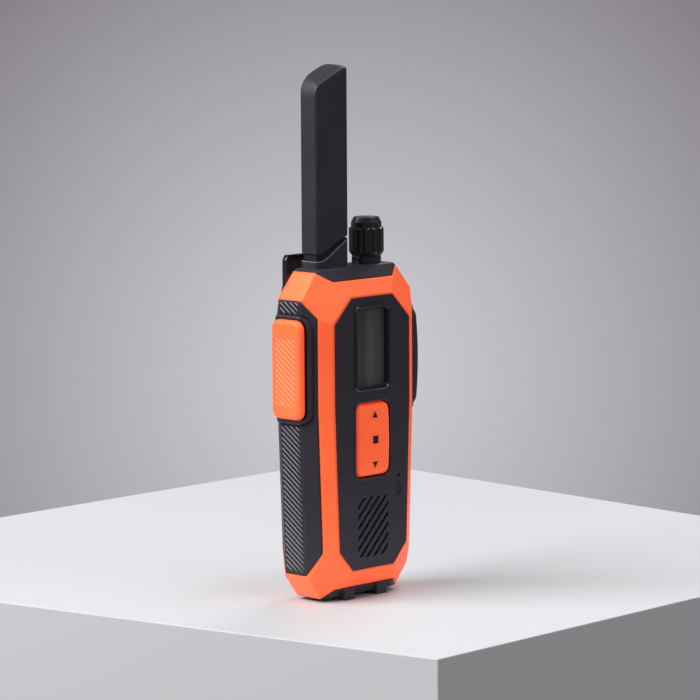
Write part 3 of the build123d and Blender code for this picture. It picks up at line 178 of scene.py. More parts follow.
def moulded(name, colour, worn_and_lit_colour, rough, grain, depth, wear_and_highlight=0.35, sheen=0.0, soft=0.0):
    """Moulded plastic or rubber: spark-eroded grain, cloudy tone and lighter edges, partly
    rubbed wear and partly painted highlight.
    """
    f = Finish(name)
    if soft:
        f.round_edges(soft)
    cloud = f.noise(CLOUD_SIZE, 2.0)
    tone = f.blend(
        f.span(cloud, 0.35, 0.65, 0.0, 1.0),
        tuple(c * 0.93 for c in colour),
        tuple(min(1.0, c * 1.05) for c in colour),
    )
    scuffs = f.noise(SCUFF_SIZE, 4.0)
    # lighter edges: rubbed wear and painted highlight along sharp edges
    rubbed_and_lit_edges = f.node("ShaderNodeMath", operation="MULTIPLY")
    f.link(f.edge_mask(WORN_AND_LIT_EDGE), rubbed_and_lit_edges.inputs[0])
    f.link(f.span(scuffs, 0.3, 0.7, wear_and_highlight * 0.4, wear_and_highlight), rubbed_and_lit_edges.inputs[1])
    f.put("Base Color", f.blend(rubbed_and_lit_edges.outputs[0], tone, worn_and_lit_colour))
    patches = f.noise(PATCH_SIZE, 3.0)
    f.put("Roughness", f.span(patches, 0.3, 0.7, rough - 0.05, rough + 0.06))
    f.put("Specular IOR Level", 0.42)
    f.bump(f.noise(grain, 2.0), depth, 0.55)
    if sheen:
        f.put("Sheen Weight", sheen)
        f.put("Sheen Roughness", 0.5)
    return f


def metal(name, colour, rough, stretch):
    """Metal with fine lines along one direction."""
    f = Finish(name)
    lines = f.noise(BRUSH_SIZE, 4.0, stretch)
    f.put("Base Color", f.blend(lines, tuple(c * 0.85 for c in colour), colour))
    f.put("Metallic", 1.0)
    f.put("Roughness", f.span(lines, 0.3, 0.7, rough - 0.07, rough + 0.10))
    f.bump(lines, 0.01 * MM, 0.4)
    return f


# ---------------------------------------------------------------- the record's material slots


def with_painted_glow(f):
    """Painted light: a glow that lifts the orange in shade, stronger to the camera than on what
    it lights.
    """
    f.put("Emission Color", (*ORANGE_PAINTED_GLOW, 1.0))
    seen = f.node("ShaderNodeLightPath").outputs["Is Camera Ray"]
    f.put("Emission Strength", f.span(seen, 0.0, 1.0, PAINTED_GLOW_CAST, PAINTED_GLOW_SEEN))
    return f


def orange_shell():
    f = moulded(
        "orange_shell", ORANGE, ORANGE_WORN, 0.40, 0.16 * MM, 0.014 * MM, soft=1.3 * MM
    )
    return with_painted_glow(f)


def orange_rubber():
    f = moulded("orange_rubber", ORANGE, ORANGE_WORN, 0.44, 0.2 * MM, 0.012 * MM, sheen=0.06)
    return with_painted_glow(f)


def dark_shell():
    return moulded(
        "dark_shell", CHARCOAL, (0.16, 0.15, 0.17), 0.42, 0.2 * MM, 0.028 * MM, soft=0.4 * MM
    )


def grip_rubber():
    f = moulded(
        "grip_rubber",
        CHARCOAL,
        CHARCOAL_LIGHT,
        0.48,
        0.22 * MM,
        0.024 * MM,
        sheen=0.06,
        soft=0.9 * MM,
    )
    # painted shade: the flat side, where the ribs are, is darkened as shade between the ribs
    facing = f.node("ShaderNodeSeparateXYZ")
    f.link(f.node("ShaderNodeNewGeometry").outputs["Normal"], facing.inputs[0])
    flat = f.node("ShaderNodeMath", operation="ABSOLUTE")
    f.link(facing.outputs["X"], flat.inputs[0])
    tone = f.bsdf.inputs["Base Color"].links[0].from_socket
    share = f.span(flat.outputs[0], 0.985, 0.997, 0.0, 1.0)
    f.put("Base Color", f.blend(share, tone, RIB_PAINTED_SHADE))
    return f


def antenna_dark():
    # painted highlight along the rims of the antenna and its collar: a light edge colour and a
    # strong edge share
    return moulded(
        "antenna_dark",
        (0.040, 0.037, 0.049),
        (0.24, 0.23, 0.26),
        0.44,
        0.18 * MM,
        0.024 * MM,
        wear_and_highlight=0.6,
    )


def gloss_black():
    dark, worn_and_lit_colour = (0.019, 0.017, 0.021), (0.04, 0.04, 0.044)
    f = moulded("gloss_black", dark, worn_and_lit_colour, 0.18, 1.2 * MM, 0.006 * MM, 0.2)
    f.put("Coat Weight", 0.4)
    f.put("Coat Roughness", 0.08)
    return f


def legend_dark():
    dark, worn_and_lit_colour = (0.022, 0.010, 0.010), (0.04, 0.02, 0.02)
    return moulded("legend_dark", dark, worn_and_lit_colour, 0.42, 0.15 * MM, 0.008 * MM)


def window_glass():
    f = Finish("window_glass")
    smudge = f.noise(SMUDGE_SIZE, 3.0)
    # painted reflection: vertical lighter streaks across the glass
    columns = f.span(f.noise(0.0035, 1.0, (1.0, 1.0, 0.02)), 0.35, 0.65, 0.0, 1.0)
    f.put("Base Color", f.blend(columns, (0.075, 0.072, 0.082), (0.135, 0.131, 0.146)))
    f.put("Transmission Weight", 0.15)
    f.put("IOR", 1.47)
    f.put("Roughness", f.span(smudge, 0.4, 0.7, 0.10, 0.16))
    f.bump(smudge, 0.004 * MM, 0.3)
    return f


def lcd_grey():
    f = Finish("lcd_grey")
    cloud = f.noise(0.012, 2.0)
    f.put("Base Color", f.blend(cloud, (0.060, 0.062, 0.066), (0.085, 0.088, 0.092)))
    f.put("Roughness", f.span(cloud, 0.3, 0.7, 0.22, 0.34))
    f.bump(f.noise(0.1 * MM, 1.0), 0.003 * MM, 0.3)
    return f


def white_plastic():
    white, worn_and_lit_colour = (0.60, 0.60, 0.58), (0.72, 0.72, 0.70)
    return moulded("white_plastic", white, worn_and_lit_colour, 0.42, 0.2 * MM, 0.01 * MM)


def seal_rubber():
    dark, worn_and_lit_colour = (0.014, 0.014, 0.016), (0.03, 0.03, 0.032)
    return moulded("seal_rubber", dark, worn_and_lit_colour, 0.62, 0.25 * MM, 0.02 * MM)


def board_green():
    green, worn_and_lit_colour = (0.012, 0.09, 0.04), (0.10, 0.16, 0.08)
    f = moulded("board_green", green, worn_and_lit_colour, 0.30, 0.4 * MM, 0.01 * MM)
    f.put("Coat Weight", 0.3)
    return f


def chip_black():
    dark, worn_and_lit_colour = (0.016, 0.016, 0.017), (0.04, 0.04, 0.04)
    return moulded("chip_black", dark, worn_and_lit_colour, 0.55, 0.12 * MM, 0.01 * MM)


def battery_wrap():
    blue, worn_and_lit_colour = (0.030, 0.040, 0.065), (0.06, 0.07, 0.10)
    return moulded("battery_wrap", blue, worn_and_lit_colour, 0.32, 0.8 * MM, 0.012 * MM)


def mesh_cloth():
    dark, worn_and_lit_colour = (0.012, 0.012, 0.013), (0.03, 0.03, 0.03)
    f = moulded("mesh_cloth", dark, worn_and_lit_colour, 0.8, 0.3 * MM, 0.06 * MM, sheen=0.3)
    for direction in ("X", "Z"):
        threads = f.node("ShaderNodeTexWave", bands_direction=direction)
        threads.inputs["Scale"].default_value = 0.3 / THREAD_PITCH
        f.link(f.place, threads.inputs["Vector"])
        f.bump(threads.outputs["Fac"], 0.05 * MM, 0.6)
    return f


def cone_paper():
    dark, worn_and_lit_colour = (0.030, 0.029, 0.028), (0.05, 0.05, 0.05)
    return moulded("cone_paper", dark, worn_and_lit_colour, 0.75, 0.35 * MM, 0.05 * MM)


def tin_plate():
    return metal("tin_plate", (0.72, 0.72, 0.73), 0.30, (1.0, 1.0, 6.0))


def steel():
    return metal("steel", (0.56, 0.56, 0.58), 0.33, (6.0, 1.0, 1.0))


def gold_contact():
    return metal("gold_contact", (0.86, 0.62, 0.22), 0.24, (1.0, 6.0, 1.0))


def brass():
    return metal("brass", (0.74, 0.52, 0.22), 0.30, (1.0, 1.0, 8.0))


def copper():
    return metal("copper", (0.78, 0.36, 0.18), 0.25, (1.0, 1.0, 4.0))


def ferrite():
    dark, worn_and_lit_colour = (0.03, 0.03, 0.032), (0.07, 0.07, 0.07)
    return moulded("ferrite", dark, worn_and_lit_colour, 0.50, 0.3 * MM, 0.03 * MM)


BUILDERS = (
    orange_shell,
    orange_rubber,
    dark_shell,
    grip_rubber,
    antenna_dark,
    gloss_black,
    legend_dark,
    window_glass,
    lcd_grey,
    white_plastic,
    seal_rubber,
    board_green,
    chip_black,
    battery_wrap,
    mesh_cloth,
    cone_paper,
    tin_plate,
    steel,
    gold_contact,
    brass,
    copper,
    ferrite,
)
FINISHES = {build.__name__: build().material for build in BUILDERS}


def paint(piece, slot):
    piece.data.materials.clear()
    piece.data.materials.append(FINISHES[slot])


for node, slot in SLOT_OF.items():
    paint(frame["nodes"][node], slot)

# ---------------------------------------------------------------- soft edges on the CAD nodes

WELD_REACH = 0.002 * MM  # points closer than this are one point
SOFT_ANGLE = math.radians(24)  # an edge that turns by more than this is softened
SOFT_STEPS = 3


def even_out(piece):
    """Flat faces shade flat, and only the rounded edges between them shade round."""
    even = piece.modifiers.new("even_normals", "WEIGHTED_NORMAL")
    even.keep_sharp = False


def soften(node, width):
    """Round a node's sharp edges, as a mould does."""
    piece = frame["nodes"][node]
    for face in piece.data.polygons:
        face.use_smooth = True
    weld = piece.modifiers.new("weld", "WELD")
    weld.merge_threshold = WELD_REACH
    bevel = piece.modifiers.new("soft_edge", "BEVEL")
    bevel.width = width * MM
    bevel.segments = SOFT_STEPS
    bevel.limit_method = "ANGLE"
    bevel.angle_limit = SOFT_ANGLE
    bevel.miter_outer = "MITER_ARC"
    bevel.use_clamp_overlap = True
    even_out(piece)


# Edge radius in millimetres
SOFT = {
    "front_housing": 0.12,
    "rear_housing": 0.12,
    "ptt_frame": 0.25,
    "jack_frame": 0.2,
    "battery_door": 0.15,
    "belt_clip": 0.35,
    "antenna_collar": 0.2,
    "clip_bracket": 0.2,
    "door_latch": 0.12,
    "shaft_nut": 0.1,
    "volume_knob": 0.12,
    "jack_cover": 0.15,
}
for node, width in SOFT.items():
    soften(node, width)

# ---------------------------------------------------------------- helpers for the mesh pieces


def surface_of(node):
    """The node's surface, for shots that find where it is."""
    mesh = frame["nodes"][node].data
    return BVHTree.FromPolygons(
        [v.co for v in mesh.vertices], [tuple(p.vertices) for p in mesh.polygons]
    )


def finished(bm, name, slot, body, smooth=True):
    """Turn a bmesh into a named piece that rides on a body."""
    bmesh.ops.recalc_face_normals(bm, faces=bm.faces)
    mesh = bpy.data.meshes.new(name)
    bm.to_mesh(mesh)
    bm.free()
    for face in mesh.polygons:
        face.use_smooth = smooth
    piece = bpy.data.objects.new(name, mesh)
    bpy.context.scene.collection.objects.link(piece)
    paint(piece, slot)
    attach(piece, body)
    return piece


def ridge(bm, points, outwards, half_width, height, sink):
    """A low rounded rib along points, closed at both ends, that rises outwards."""
    rings = []
    along = (points[-1] - points[0]).normalized()
    across = along.cross(outwards).normalized() * half_width
    profile = [(-1.0, -sink), (-0.8, 0.55 * height), (-0.3, height)]
    profile += [(-s, h) for s, h in reversed(profile)]
    for point in points:
        rings.append([bm.verts.new(point + across * s + outwards * h) for s, h in profile])
    size = len(profile)
    for first, second in zip(rings, rings[1:]):
        for i in range(size):
            j = (i + 1) % size
            bm.faces.new((first[i], first[j], second[j], second[i]))
    bm.faces.new(list(reversed(rings[0])))
    bm.faces.new(rings[-1])


# ---------------------------------------------------------------- mouldings with generous radii

MOULD_RADIUS = 0.4 * MM
MOULD_STEPS = 4
FLAT_ANGLE = math.radians(0.6)  # faces that turn by less than this are one facet
SHORTEST_EDGE = 0.26 * MM  # shorter ones would fold under the rounding
BLUNT = (7.0, 68.0)  # an edge between two facets turns by this many degrees


def facet_edges(bm):
    """Outer edges where two facets meet, without the square edges at the partings."""
    found = []
    for edge in bm.edges:
        if len(edge.link_faces) == 2 and edge.is_convex:
            if BLUNT[0] < math.degrees(edge.calc_face_angle()) < BLUNT[1]:
                found.append(edge)
    return found


def moulding(node):
    """A CAD node with its facet edges rounded, in place of the sharp one."""
    bm = bmesh.new()
    bm.from_mesh(frame["nodes"][node].data)
    bmesh.ops.remove_doubles(bm, verts=bm.verts, dist=WELD_REACH)
    bmesh.ops.dissolve_limit(bm, angle_limit=FLAT_ANGLE, verts=bm.verts, edges=bm.edges)
    bmesh.ops.dissolve_degenerate(bm, dist=SHORTEST_EDGE, edges=bm.edges)
    bmesh.ops.bevel(
        bm,
        geom=facet_edges(bm),
        offset=MOULD_RADIUS,
        offset_type="OFFSET",
        segments=MOULD_STEPS,
        profile=0.5,
        affect="EDGES",
        clamp_overlap=False,
        miter_outer="ARC",
    )
    body = frame["nodes"][node]["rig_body"]
    piece = finished(bm, f"{node}_moulding", SLOT_OF[node], body, smooth=False)
    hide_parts(node)


for node in (
    "front_bumper",
    "rear_bumper",
    "side_grip_left",
    "side_grip_right",
    "top_cap",
    "base_cap",
):
    moulding(node)

# ---------------------------------------------------------------- antenna

BLADE_LOW, BLADE_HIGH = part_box("antenna_blade")
BLADE_HALF = (BLADE_HIGH.y - BLADE_LOW.y) / 2
BLADE_BOW = 1.2 * MM  # how far the right side is bowed out
BLADE_RIGHT = BLADE_HIGH.x - BLADE_BOW
BLADE_CORNER = 1.1 * MM
BLADE_WALL = 0.9 * MM
SHOULDER_DROP = 11.4 * MM  # the left side ends this far below the tip
CROWN_RUN = 18.9 * MM
CROWN_SLANT = 0.44
CROWN_TILT = 0.30
CROWN_FRONT = 0.6 * MM  # the front edge's right end is this far below the tip
CROWN_ROUND = 0.75 * MM
CROWN_FULLNESS = 2.6  # this and the next shape the curve over the left side
CROWN_SWEEP = 0.44
CROWN_BLEND = 0.25 * MM  # softens the line where curve and flat cut meet
TIP_ROUND_START = 3.2 * MM  # the top bends down from here to the right edge
TIP_ROUND_RUN = 4.4 * MM
TIP_ROUND_DROP = 1.3 * MM
FOOT_EDGE = 0.2 * MM
FOOT_INSET = 0.4 * MM
RIGHT_CORNER = (0.1 * MM, 0.12 * MM)  # how far right and back this corner point lies
RIGHT_CORNER_OUT = (0.5, -0.866)
CORNER_TURNS = 4
FRONT_STEPS = 26
BOW_STEPS = 5
RIM_TURNS = 6
TOP_STEPS = 6
SOCKET_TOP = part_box("antenna_neck")[1].z


def blade_outline():
    """Points and outward directions round the antenna's cross-section."""
    left, half, corner = BLADE_LOW.x, BLADE_HALF, BLADE_CORNER
    run = BLADE_RIGHT - left - corner
    front = []
    for i in range(CORNER_TURNS + 1):
        a = math.pi + math.pi / 2 * i / CORNER_TURNS
        out = (math.cos(a), math.sin(a))
        place = (left + corner + corner * out[0], -half + corner + corner * out[1])
        front.append((*place, out))
    for i in range(1, FRONT_STEPS):
        front.append((left + corner + run * i / FRONT_STEPS, -half, (0.0, -1.0)))
    corner_place = (BLADE_RIGHT + RIGHT_CORNER[0], -half + RIGHT_CORNER[1])
    front.append((*corner_place, RIGHT_CORNER_OUT))
    for i in range(1, BOW_STEPS + 1):
        y = -half * (1 - i / (BOW_STEPS + 0.5))
        out = Vector((1.0, 2 * BLADE_BOW * y / half**2)).normalized()
        front.append((BLADE_RIGHT + BLADE_BOW * (1 - (y / half) ** 2), y, tuple(out)))
    back = [(x, -y, (out[0], -out[1])) for x, y, out in reversed(front)]
    return front + back


def crown_height(x, y):
    """Height of the antenna's slanted, rounded top."""
    share = min(1.0, max(0.0, (x - BLADE_LOW.x) / CROWN_RUN))
    rise = (1 - (1 - share) ** CROWN_FULLNESS) ** CROWN_SWEEP
    curved = BLADE_HIGH.z - SHOULDER_DROP * (1 - rise)
    flat = BLADE_HIGH.z - CROWN_FRONT
    flat += CROWN_SLANT * (x - BLADE_RIGHT) + CROWN_TILT * (y + BLADE_HALF)
    lower, upper = sorted((curved, flat))
    softened = lower - CROWN_BLEND * math.exp((lower - upper) / CROWN_BLEND) / 2
    end = max(0.0, (x - BLADE_RIGHT + TIP_ROUND_START) / TIP_ROUND_RUN)
    return softened - TIP_ROUND_DROP * end**2


def blade_column(side, out, foot):
    """Points from the socket's top, down to the foot, up the side and over the crown."""
    socket = side - out * BLADE_WALL
    column = [
        Vector((*socket, SOCKET_TOP)),
        Vector((*socket, foot)),
        Vector((*(side - out * FOOT_EDGE), foot)),
        Vector((*side, foot + FOOT_EDGE)),
    ]
    for k in range(RIM_TURNS + 1):
        a = math.pi / 2 * k / RIM_TURNS
        place = side - out * CROWN_ROUND * (1 - math.cos(a))
        height = crown_height(*place) - CROWN_ROUND * (1 - math.sin(a))
        column.append(Vector((*place, height)))
    edge = side - out * CROWN_ROUND
    middle_x = min(BLADE_HIGH.x - BLADE_HALF, max(BLADE_LOW.x + BLADE_HALF, edge.x))
    for k in range(1, TOP_STEPS + 1):
        place = edge.lerp(Vector((middle_x, 0.0)), k / TOP_STEPS)
        column.append(Vector((*place, crown_height(*place))))
    return column


def antenna_body():
    """Antenna with a crowned tip and rounded rim, hollow where the neck enters it."""
    blade = surface_of("antenna_blade")
    below = BLADE_LOW.z - FOOT_INSET
    bm = bmesh.new()
    columns = []
    for x, y, out in blade_outline():
        side, out = Vector((x, y)), Vector(out)
        seen = side - out * FOOT_INSET
        foot = blade.ray_cast(Vector((seen.x, seen.y, below)), Vector((0, 0, 1)))[0].z
        columns.append([bm.verts.new(point) for point in blade_column(side, out, foot)])
    size = len(columns[0])
    for i, column in enumerate(columns):
        after = columns[(i + 1) % len(columns)]
        for k in range(size - 1):
            bm.faces.new((column[k], after[k], after[k + 1], column[k + 1]))
    bm.faces.new([column[0] for column in reversed(columns)])
    bmesh.ops.remove_doubles(bm, verts=bm.verts, dist=WELD_REACH / 2)
    piece = finished(bm, "antenna_body", "antenna_dark", "chassis")
    even_out(piece)
    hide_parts("antenna_blade")


antenna_body()

# ---------------------------------------------------------------- display surround

GLASS_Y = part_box("display_window")[0].y
PANEL_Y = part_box("front_housing")[0].y
BEZEL_CORNER = 2.6 * MM
KEY_FLANGE = 1.35 * MM  # hidden rim of the keypad, behind the panel
KEY_BEAD_OUT = 1.15 * MM  # from the pad's edge to the outside of the bead
KEY_BEAD_RISE = 0.3 * MM
KEY_BEAD_CORNER = 3.6 * MM


def rounded_loop(half_u, half_v, corner, turns=8):
    """Points and outward directions round a rounded rectangle."""
    loop = []
    centres = ((1, 1, 0), (-1, 1, 90), (-1, -1, 180), (1, -1, 270))
    for side_u, side_v, start in centres:
        for i in range(turns + 1):
            a = math.radians(start + 90 * i / turns)
            out = (math.cos(a), math.sin(a))
            middle = (side_u * (half_u - corner), side_v * (half_v - corner))
            loop.append((middle[0] + corner * out[0], middle[1] + corner * out[1], out))
    return loop


def swept_frame(name, slot, half_u, half_v, middle_z, corner, profile):
    """Closed frame with (inwards, y) profile, swept round a rounded rectangle."""
    bm = bmesh.new()
    rings = []
    for u, v, out in rounded_loop(half_u, half_v, corner):
        rings.append(
            [
                bm.verts.new((u - out[0] * inwards, y, middle_z + v - out[1] * inwards))
                for inwards, y in profile
            ]
        )
    size = len(profile)
    for k, ring in enumerate(rings):
        after = rings[(k + 1) % len(rings)]
        for i in range(size):
            j = (i + 1) % size
            bm.faces.new((ring[i], ring[j], after[j], after[i]))
    piece = finished(bm, name, slot, "chassis")
    even_out(piece)
    return piece


def display_surround():
    """Rounded frame that stands out of the panel and falls steeply to the glass."""
    low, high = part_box("display_bezel")
    half_u, half_v = (high.x - low.x) / 2, (high.z - low.z) / 2
    middle_z = (low.z + high.z) / 2
    crest = low.y
    profile = [
        (0.0, high.y),
        (0.0, PANEL_Y - 0.03 * MM),
        (0.08 * MM, crest + 0.52 * MM),
        (0.5 * MM, crest + 0.12 * MM),
        (0.72 * MM, crest),
        (0.9 * MM, crest + 0.04 * MM),
        (1.02 * MM, crest + 0.16 * MM),
        (1.5 * MM, crest + 0.8 * MM),
        (1.62 * MM, GLASS_Y - 0.05 * MM),
        (1.62 * MM, GLASS_Y),
        (1.05 * MM, GLASS_Y),
        (1.05 * MM, high.y),
    ]
    name, slot = "display_surround", "gloss_black"
    piece = swept_frame(name, slot, half_u, half_v, middle_z, BEZEL_CORNER, profile)
    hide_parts("display_bezel")


def keypad_surround():
    """Low bead on the panel round the keypad's opening."""
    low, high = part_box("keypad")
    reach = KEY_FLANGE - KEY_BEAD_OUT
    half_u, half_v = (high.x - low.x) / 2 - reach, (high.z - low.z) / 2 - reach
    crest = PANEL_Y - KEY_BEAD_RISE
    profile = [
        (0.0, PANEL_Y + 0.1 * MM),
        (0.0, PANEL_Y - 0.01 * MM),
        (0.22 * MM, crest + 0.08 * MM),
        (0.45 * MM, crest),
        (0.62 * MM, crest + 0.06 * MM),
        (0.75 * MM, crest + 0.25 * MM),
        (0.8 * MM, PANEL_Y + 0.3 * MM),
    ]
    middle_z = (low.z + high.z) / 2
    name, slot = "keypad_surround", "dark_shell"
    swept_frame(name, slot, half_u, half_v, middle_z, KEY_BEAD_CORNER, profile)


display_surround()
keypad_surround()

# ---------------------------------------------------------------- microphone mark

MARK_DROP = 4.1 * MM  # from the opening down to the sign's middle
MARK_THICK = 0.03 * MM
MARK_LINE = 0.5 * MM
CAPSULE_WIDTH = 1.5 * MM
CAPSULE_ENDS = (-0.3 * MM, 2.0 * MM)
CRADLE_RADIUS = 1.75 * MM
CRADLE_RISE = 0.2 * MM
CRADLE_STEPS = 12
STAND_ENDS = (-1.55 * MM, -2.75 * MM)
FOOT_HALF = 1.3 * MM


def stroke(bm, points, width, front, back):
    """Flat line of one width through points (x, z), as a thin closed strip."""
    left, right = [], []
    for i, point in enumerate(points):
        before = points[max(0, i - 1)]
        after = points[min(len(points) - 1, i + 1)]
        run = Vector((after[0] - before[0], after[1] - before[1])).normalized()
        side = Vector((-run.y, run.x)) * width / 2
        left.append((point[0] + side.x, point[1] + side.y))
        right.append((point[0] - side.x, point[1] - side.y))
    outline = left + right[::-1]
    top = [bm.verts.new((x, front, z)) for x, z in outline]
    low = [bm.verts.new((x, back, z)) for x, z in outline]
    n = len(points)
    for verts in (top, low):
        for i in range(n - 1):
            bm.faces.new((verts[i], verts[i + 1], verts[-i - 2], verts[-i - 1]))
    for i in range(2 * n):
        j = (i + 1) % (2 * n)
        bm.faces.new((top[i], top[j], low[j], low[i]))


def microphone_mark():
    """Generic microphone sign below the microphone's opening."""
    low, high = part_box("microphone")
    x, z = (low.x + high.x) / 2, (low.z + high.z) / 2 - MARK_DROP
    front, back = PANEL_Y - MARK_THICK, PANEL_Y + 2 * MARK_THICK
    capsule = [(x, z + end) for end in CAPSULE_ENDS]
    cradle = []
    for i in range(CRADLE_STEPS + 1):
        a = math.pi + math.pi * i / CRADLE_STEPS
        rise = CRADLE_RISE + CRADLE_RADIUS * math.sin(a)
        cradle.append((x + CRADLE_RADIUS * math.cos(a), z + rise))
    stand = [(x, z + end) for end in STAND_ENDS]
    foot = [(x + end, z + STAND_ENDS[1]) for end in (-FOOT_HALF, FOOT_HALF)]
    bm = bmesh.new()
    stroke(bm, capsule, CAPSULE_WIDTH, front, back)
    for line in (cradle, stand, foot):
        stroke(bm, line, MARK_LINE, front, back)
    finished(bm, "microphone_mark", "gloss_black", "chassis", smooth=False)


microphone_mark()

# ---------------------------------------------------------------- ribs on the flanks

# painted highlight: the ribs, dark rubber like the grip, are coloured light grey where the key
# light catches their crests
RIB_PAINTED_HIGHLIGHT = (0.30, 0.29, 0.32)
RIB_PAINTED_HIGHLIGHT_EDGE = (0.42, 0.41, 0.44)
RIB_HIGHLIGHT_FINISH = moulded("rib_painted_highlight", RIB_PAINTED_HIGHLIGHT, RIB_PAINTED_HIGHLIGHT_EDGE, 0.32, 0.2 * MM, 0.012 * MM).material
RIB_PITCH = 1.80 * MM
RIB_RISE = 0.72  # height gained per depth, towards the back
RIB_HALF = 0.20 * MM
RIB_HEIGHT = 0.3 * MM
RIB_SINK = 0.08 * MM
RIB_SHORTEST = 0.8 * MM
RIB_POINTS = 6
FIELD_HALF = 4.15 * MM
LOWER_FIELD_GAPS = (1.2 * MM, 0.9 * MM)  # below and above the ribs
UPPER_FIELD_GAPS = (0.35 * MM, 0.6 * MM)
HAIR = 1e-9  # rounding error allowed in a comparison


def clipped(low, high, start_y, start_z):
    """Ends of the rib through (start_y, start_z), inside the field from low to high."""
    ends = []
    for y in (low[0], high[0]):
        z = start_z + (y - start_y) * RIB_RISE
        if z < low[1]:
            z, y = low[1], start_y + (low[1] - start_z) / RIB_RISE
        if z > high[1]:
            z, y = high[1], start_y + (high[1] - start_z) / RIB_RISE
        ends.append((y, z))
    inside = all(low[0] - HAIR <= y <= high[0] + HAIR for y, _ in ends)
    long_enough = ends[1][0] - ends[0][0] > RIB_SHORTEST
    return ends if inside and long_enough else None


def flank_ribs(side):
    """Diagonal ribs above and below one flank's control, laid on the grip's surface."""
    name = "left" if side < 0 else "right"
    grip = surface_of(f"side_grip_{name}")
    grip_low, grip_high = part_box(f"side_grip_{name}")
    frame_low, frame_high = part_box("ptt_frame" if side < 0 else "jack_frame")
    grip_far = max(abs(grip_low.x), abs(grip_high.x))
    outwards = Vector((side, 0, 0))
    heights = (
        (grip_low.z + LOWER_FIELD_GAPS[0], frame_low.z - LOWER_FIELD_GAPS[1]),
        (frame_high.z + UPPER_FIELD_GAPS[0], grip_high.z - UPPER_FIELD_GAPS[1]),
    )
    bm = bmesh.new()
    for low_z, high_z in heights:
        low, high = (-FIELD_HALF, low_z), (FIELD_HALF, high_z)
        z = low[1] - 2 * FIELD_HALF * RIB_RISE
        while z < high[1]:
            ends = clipped(low, high, low[0], z)
            z += RIB_PITCH
            if not ends:
                continue
            start, end = (Vector((2 * side * grip_far, *pair)) for pair in ends)
            points = []
            for step in range(RIB_POINTS):
                shot = grip.ray_cast(start.lerp(end, step / (RIB_POINTS - 1)), -outwards)
                if shot[0] is not None:
                    points.append(shot[0])
            if len(points) == RIB_POINTS:
                ridge(bm, points, outwards, RIB_HALF, RIB_HEIGHT, RIB_SINK)
    piece = finished(bm, f"grip_ribs_{name}", "grip_rubber", "chassis")
    # painted highlight: the ribs take the light grey colour
    piece.data.materials[0] = RIB_HIGHLIGHT_FINISH


flank_ribs(-1)
flank_ribs(1)

# ---------------------------------------------------------------- talk button


def corner_distance(u, v, half_u, half_v, corner):
    """Distance from (u, v) to the outline of a rounded rectangle, positive inside."""
    qu = abs(u) - (half_u - corner)
    qv = abs(v) - (half_v - corner)
    if qu > 0 and qv > 0:
        return corner - math.hypot(qu, qv)
    return corner - max(qu, qv)


FILLET_TURNS = 7


def graded(half, fillet, step):
    """Positions from -half to half, dense where the edge is rounded."""
    quarter = math.pi / 2 / FILLET_TURNS
    edge = [fillet * (1 - math.cos(quarter * i)) for i in range(FILLET_TURNS)]
    inner = half - fillet
    count = max(2, round(2 * inner / step))
    middle = [-inner + 2 * inner * i / count for i in range(count + 1)]
    return [-half + e for e in edge] + middle + [half - e for e in reversed(edge)]


def relief_plate(bm, to_world, half_u, half_v, corner, fillet, depth, relief, step):
    """Closed plate with a rounded outline, a rounded front edge and a relief on its face."""
    rows, spots = [], []
    for v in graded(half_v, fillet, step):
        qv = max(0.0, abs(v) - (half_v - corner))
        reach = half_u - corner + math.sqrt(max(0.0, corner**2 - qv**2))
        row, row_spots = [], []
        for u in graded(half_u, fillet, step):
            u *= reach / half_u
            d = max(0.0, corner_distance(u, v, half_u, half_v, corner))
            d = min(d, fillet)
            w = depth - fillet + math.sqrt(max(0.0, fillet**2 - (fillet - d) ** 2))
            row.append(bm.verts.new(to_world(u, v, w + relief(u, v))))
            row_spots.append((u, v))
        rows.append(row)
        spots.append(row_spots)
    for first, second in zip(rows, rows[1:]):
        for i in range(len(first) - 1):
            bm.faces.new((first[i], first[i + 1], second[i + 1], second[i]))
    outline = outer_loop(rows)
    back = [bm.verts.new(to_world(u, v, 0.0)) for u, v in outer_loop(spots)]
    for i in range(len(outline)):
        j = (i + 1) % len(outline)
        bm.faces.new((outline[i], outline[j], back[j], back[i]))
    bm.faces.new(back)


def outer_loop(rows):
    """The entries round the outside of a grid, in order."""
    loop = rows[0] + [row[-1] for row in rows[1:-1]]
    return loop + rows[-1][::-1] + [row[0] for row in reversed(rows[1:-1])]


TALK_LOW, TALK_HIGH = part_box("ptt_button")
TALK_MIDDLE_Z = (TALK_LOW.z + TALK_HIGH.z) / 2
TALK_BACK_X = -26.75 * MM
TALK_HALF_Y = (TALK_HIGH.y - TALK_LOW.y) / 2
TALK_HALF_Z = (TALK_HIGH.z - TALK_LOW.z) / 2
TALK_CORNER = 3.3 * MM
TALK_FILLET = 1.7 * MM
TALK_STEP = 0.17 * MM
TALK_RIB = 0.34 * MM
TALK_RIB_SHAPE = 1.6  # above 1, the ribs are narrower than their gaps
TALK_RIB_LEVEL = 0.45  # share of the rib's height that lies below the plain face
TALK_FIELD = (4.7 * MM, 11.6 * MM)  # half width and half height of the ribbed field
TALK_FIELD_DROP = 0.9 * MM
TALK_FADE = 0.5 * MM
TALK_RIB_ROOM = 0.6 * TALK_RIB  # keeps the ribs within the CAD's button


def talk_place(u, v, w):
    return Vector((TALK_BACK_X - w, u, TALK_MIDDLE_Z + v))


def eased(share):
    """Smooth step from 0 to 1."""
    t = min(1.0, max(0.0, share))
    return t * t * (3 - 2 * t)


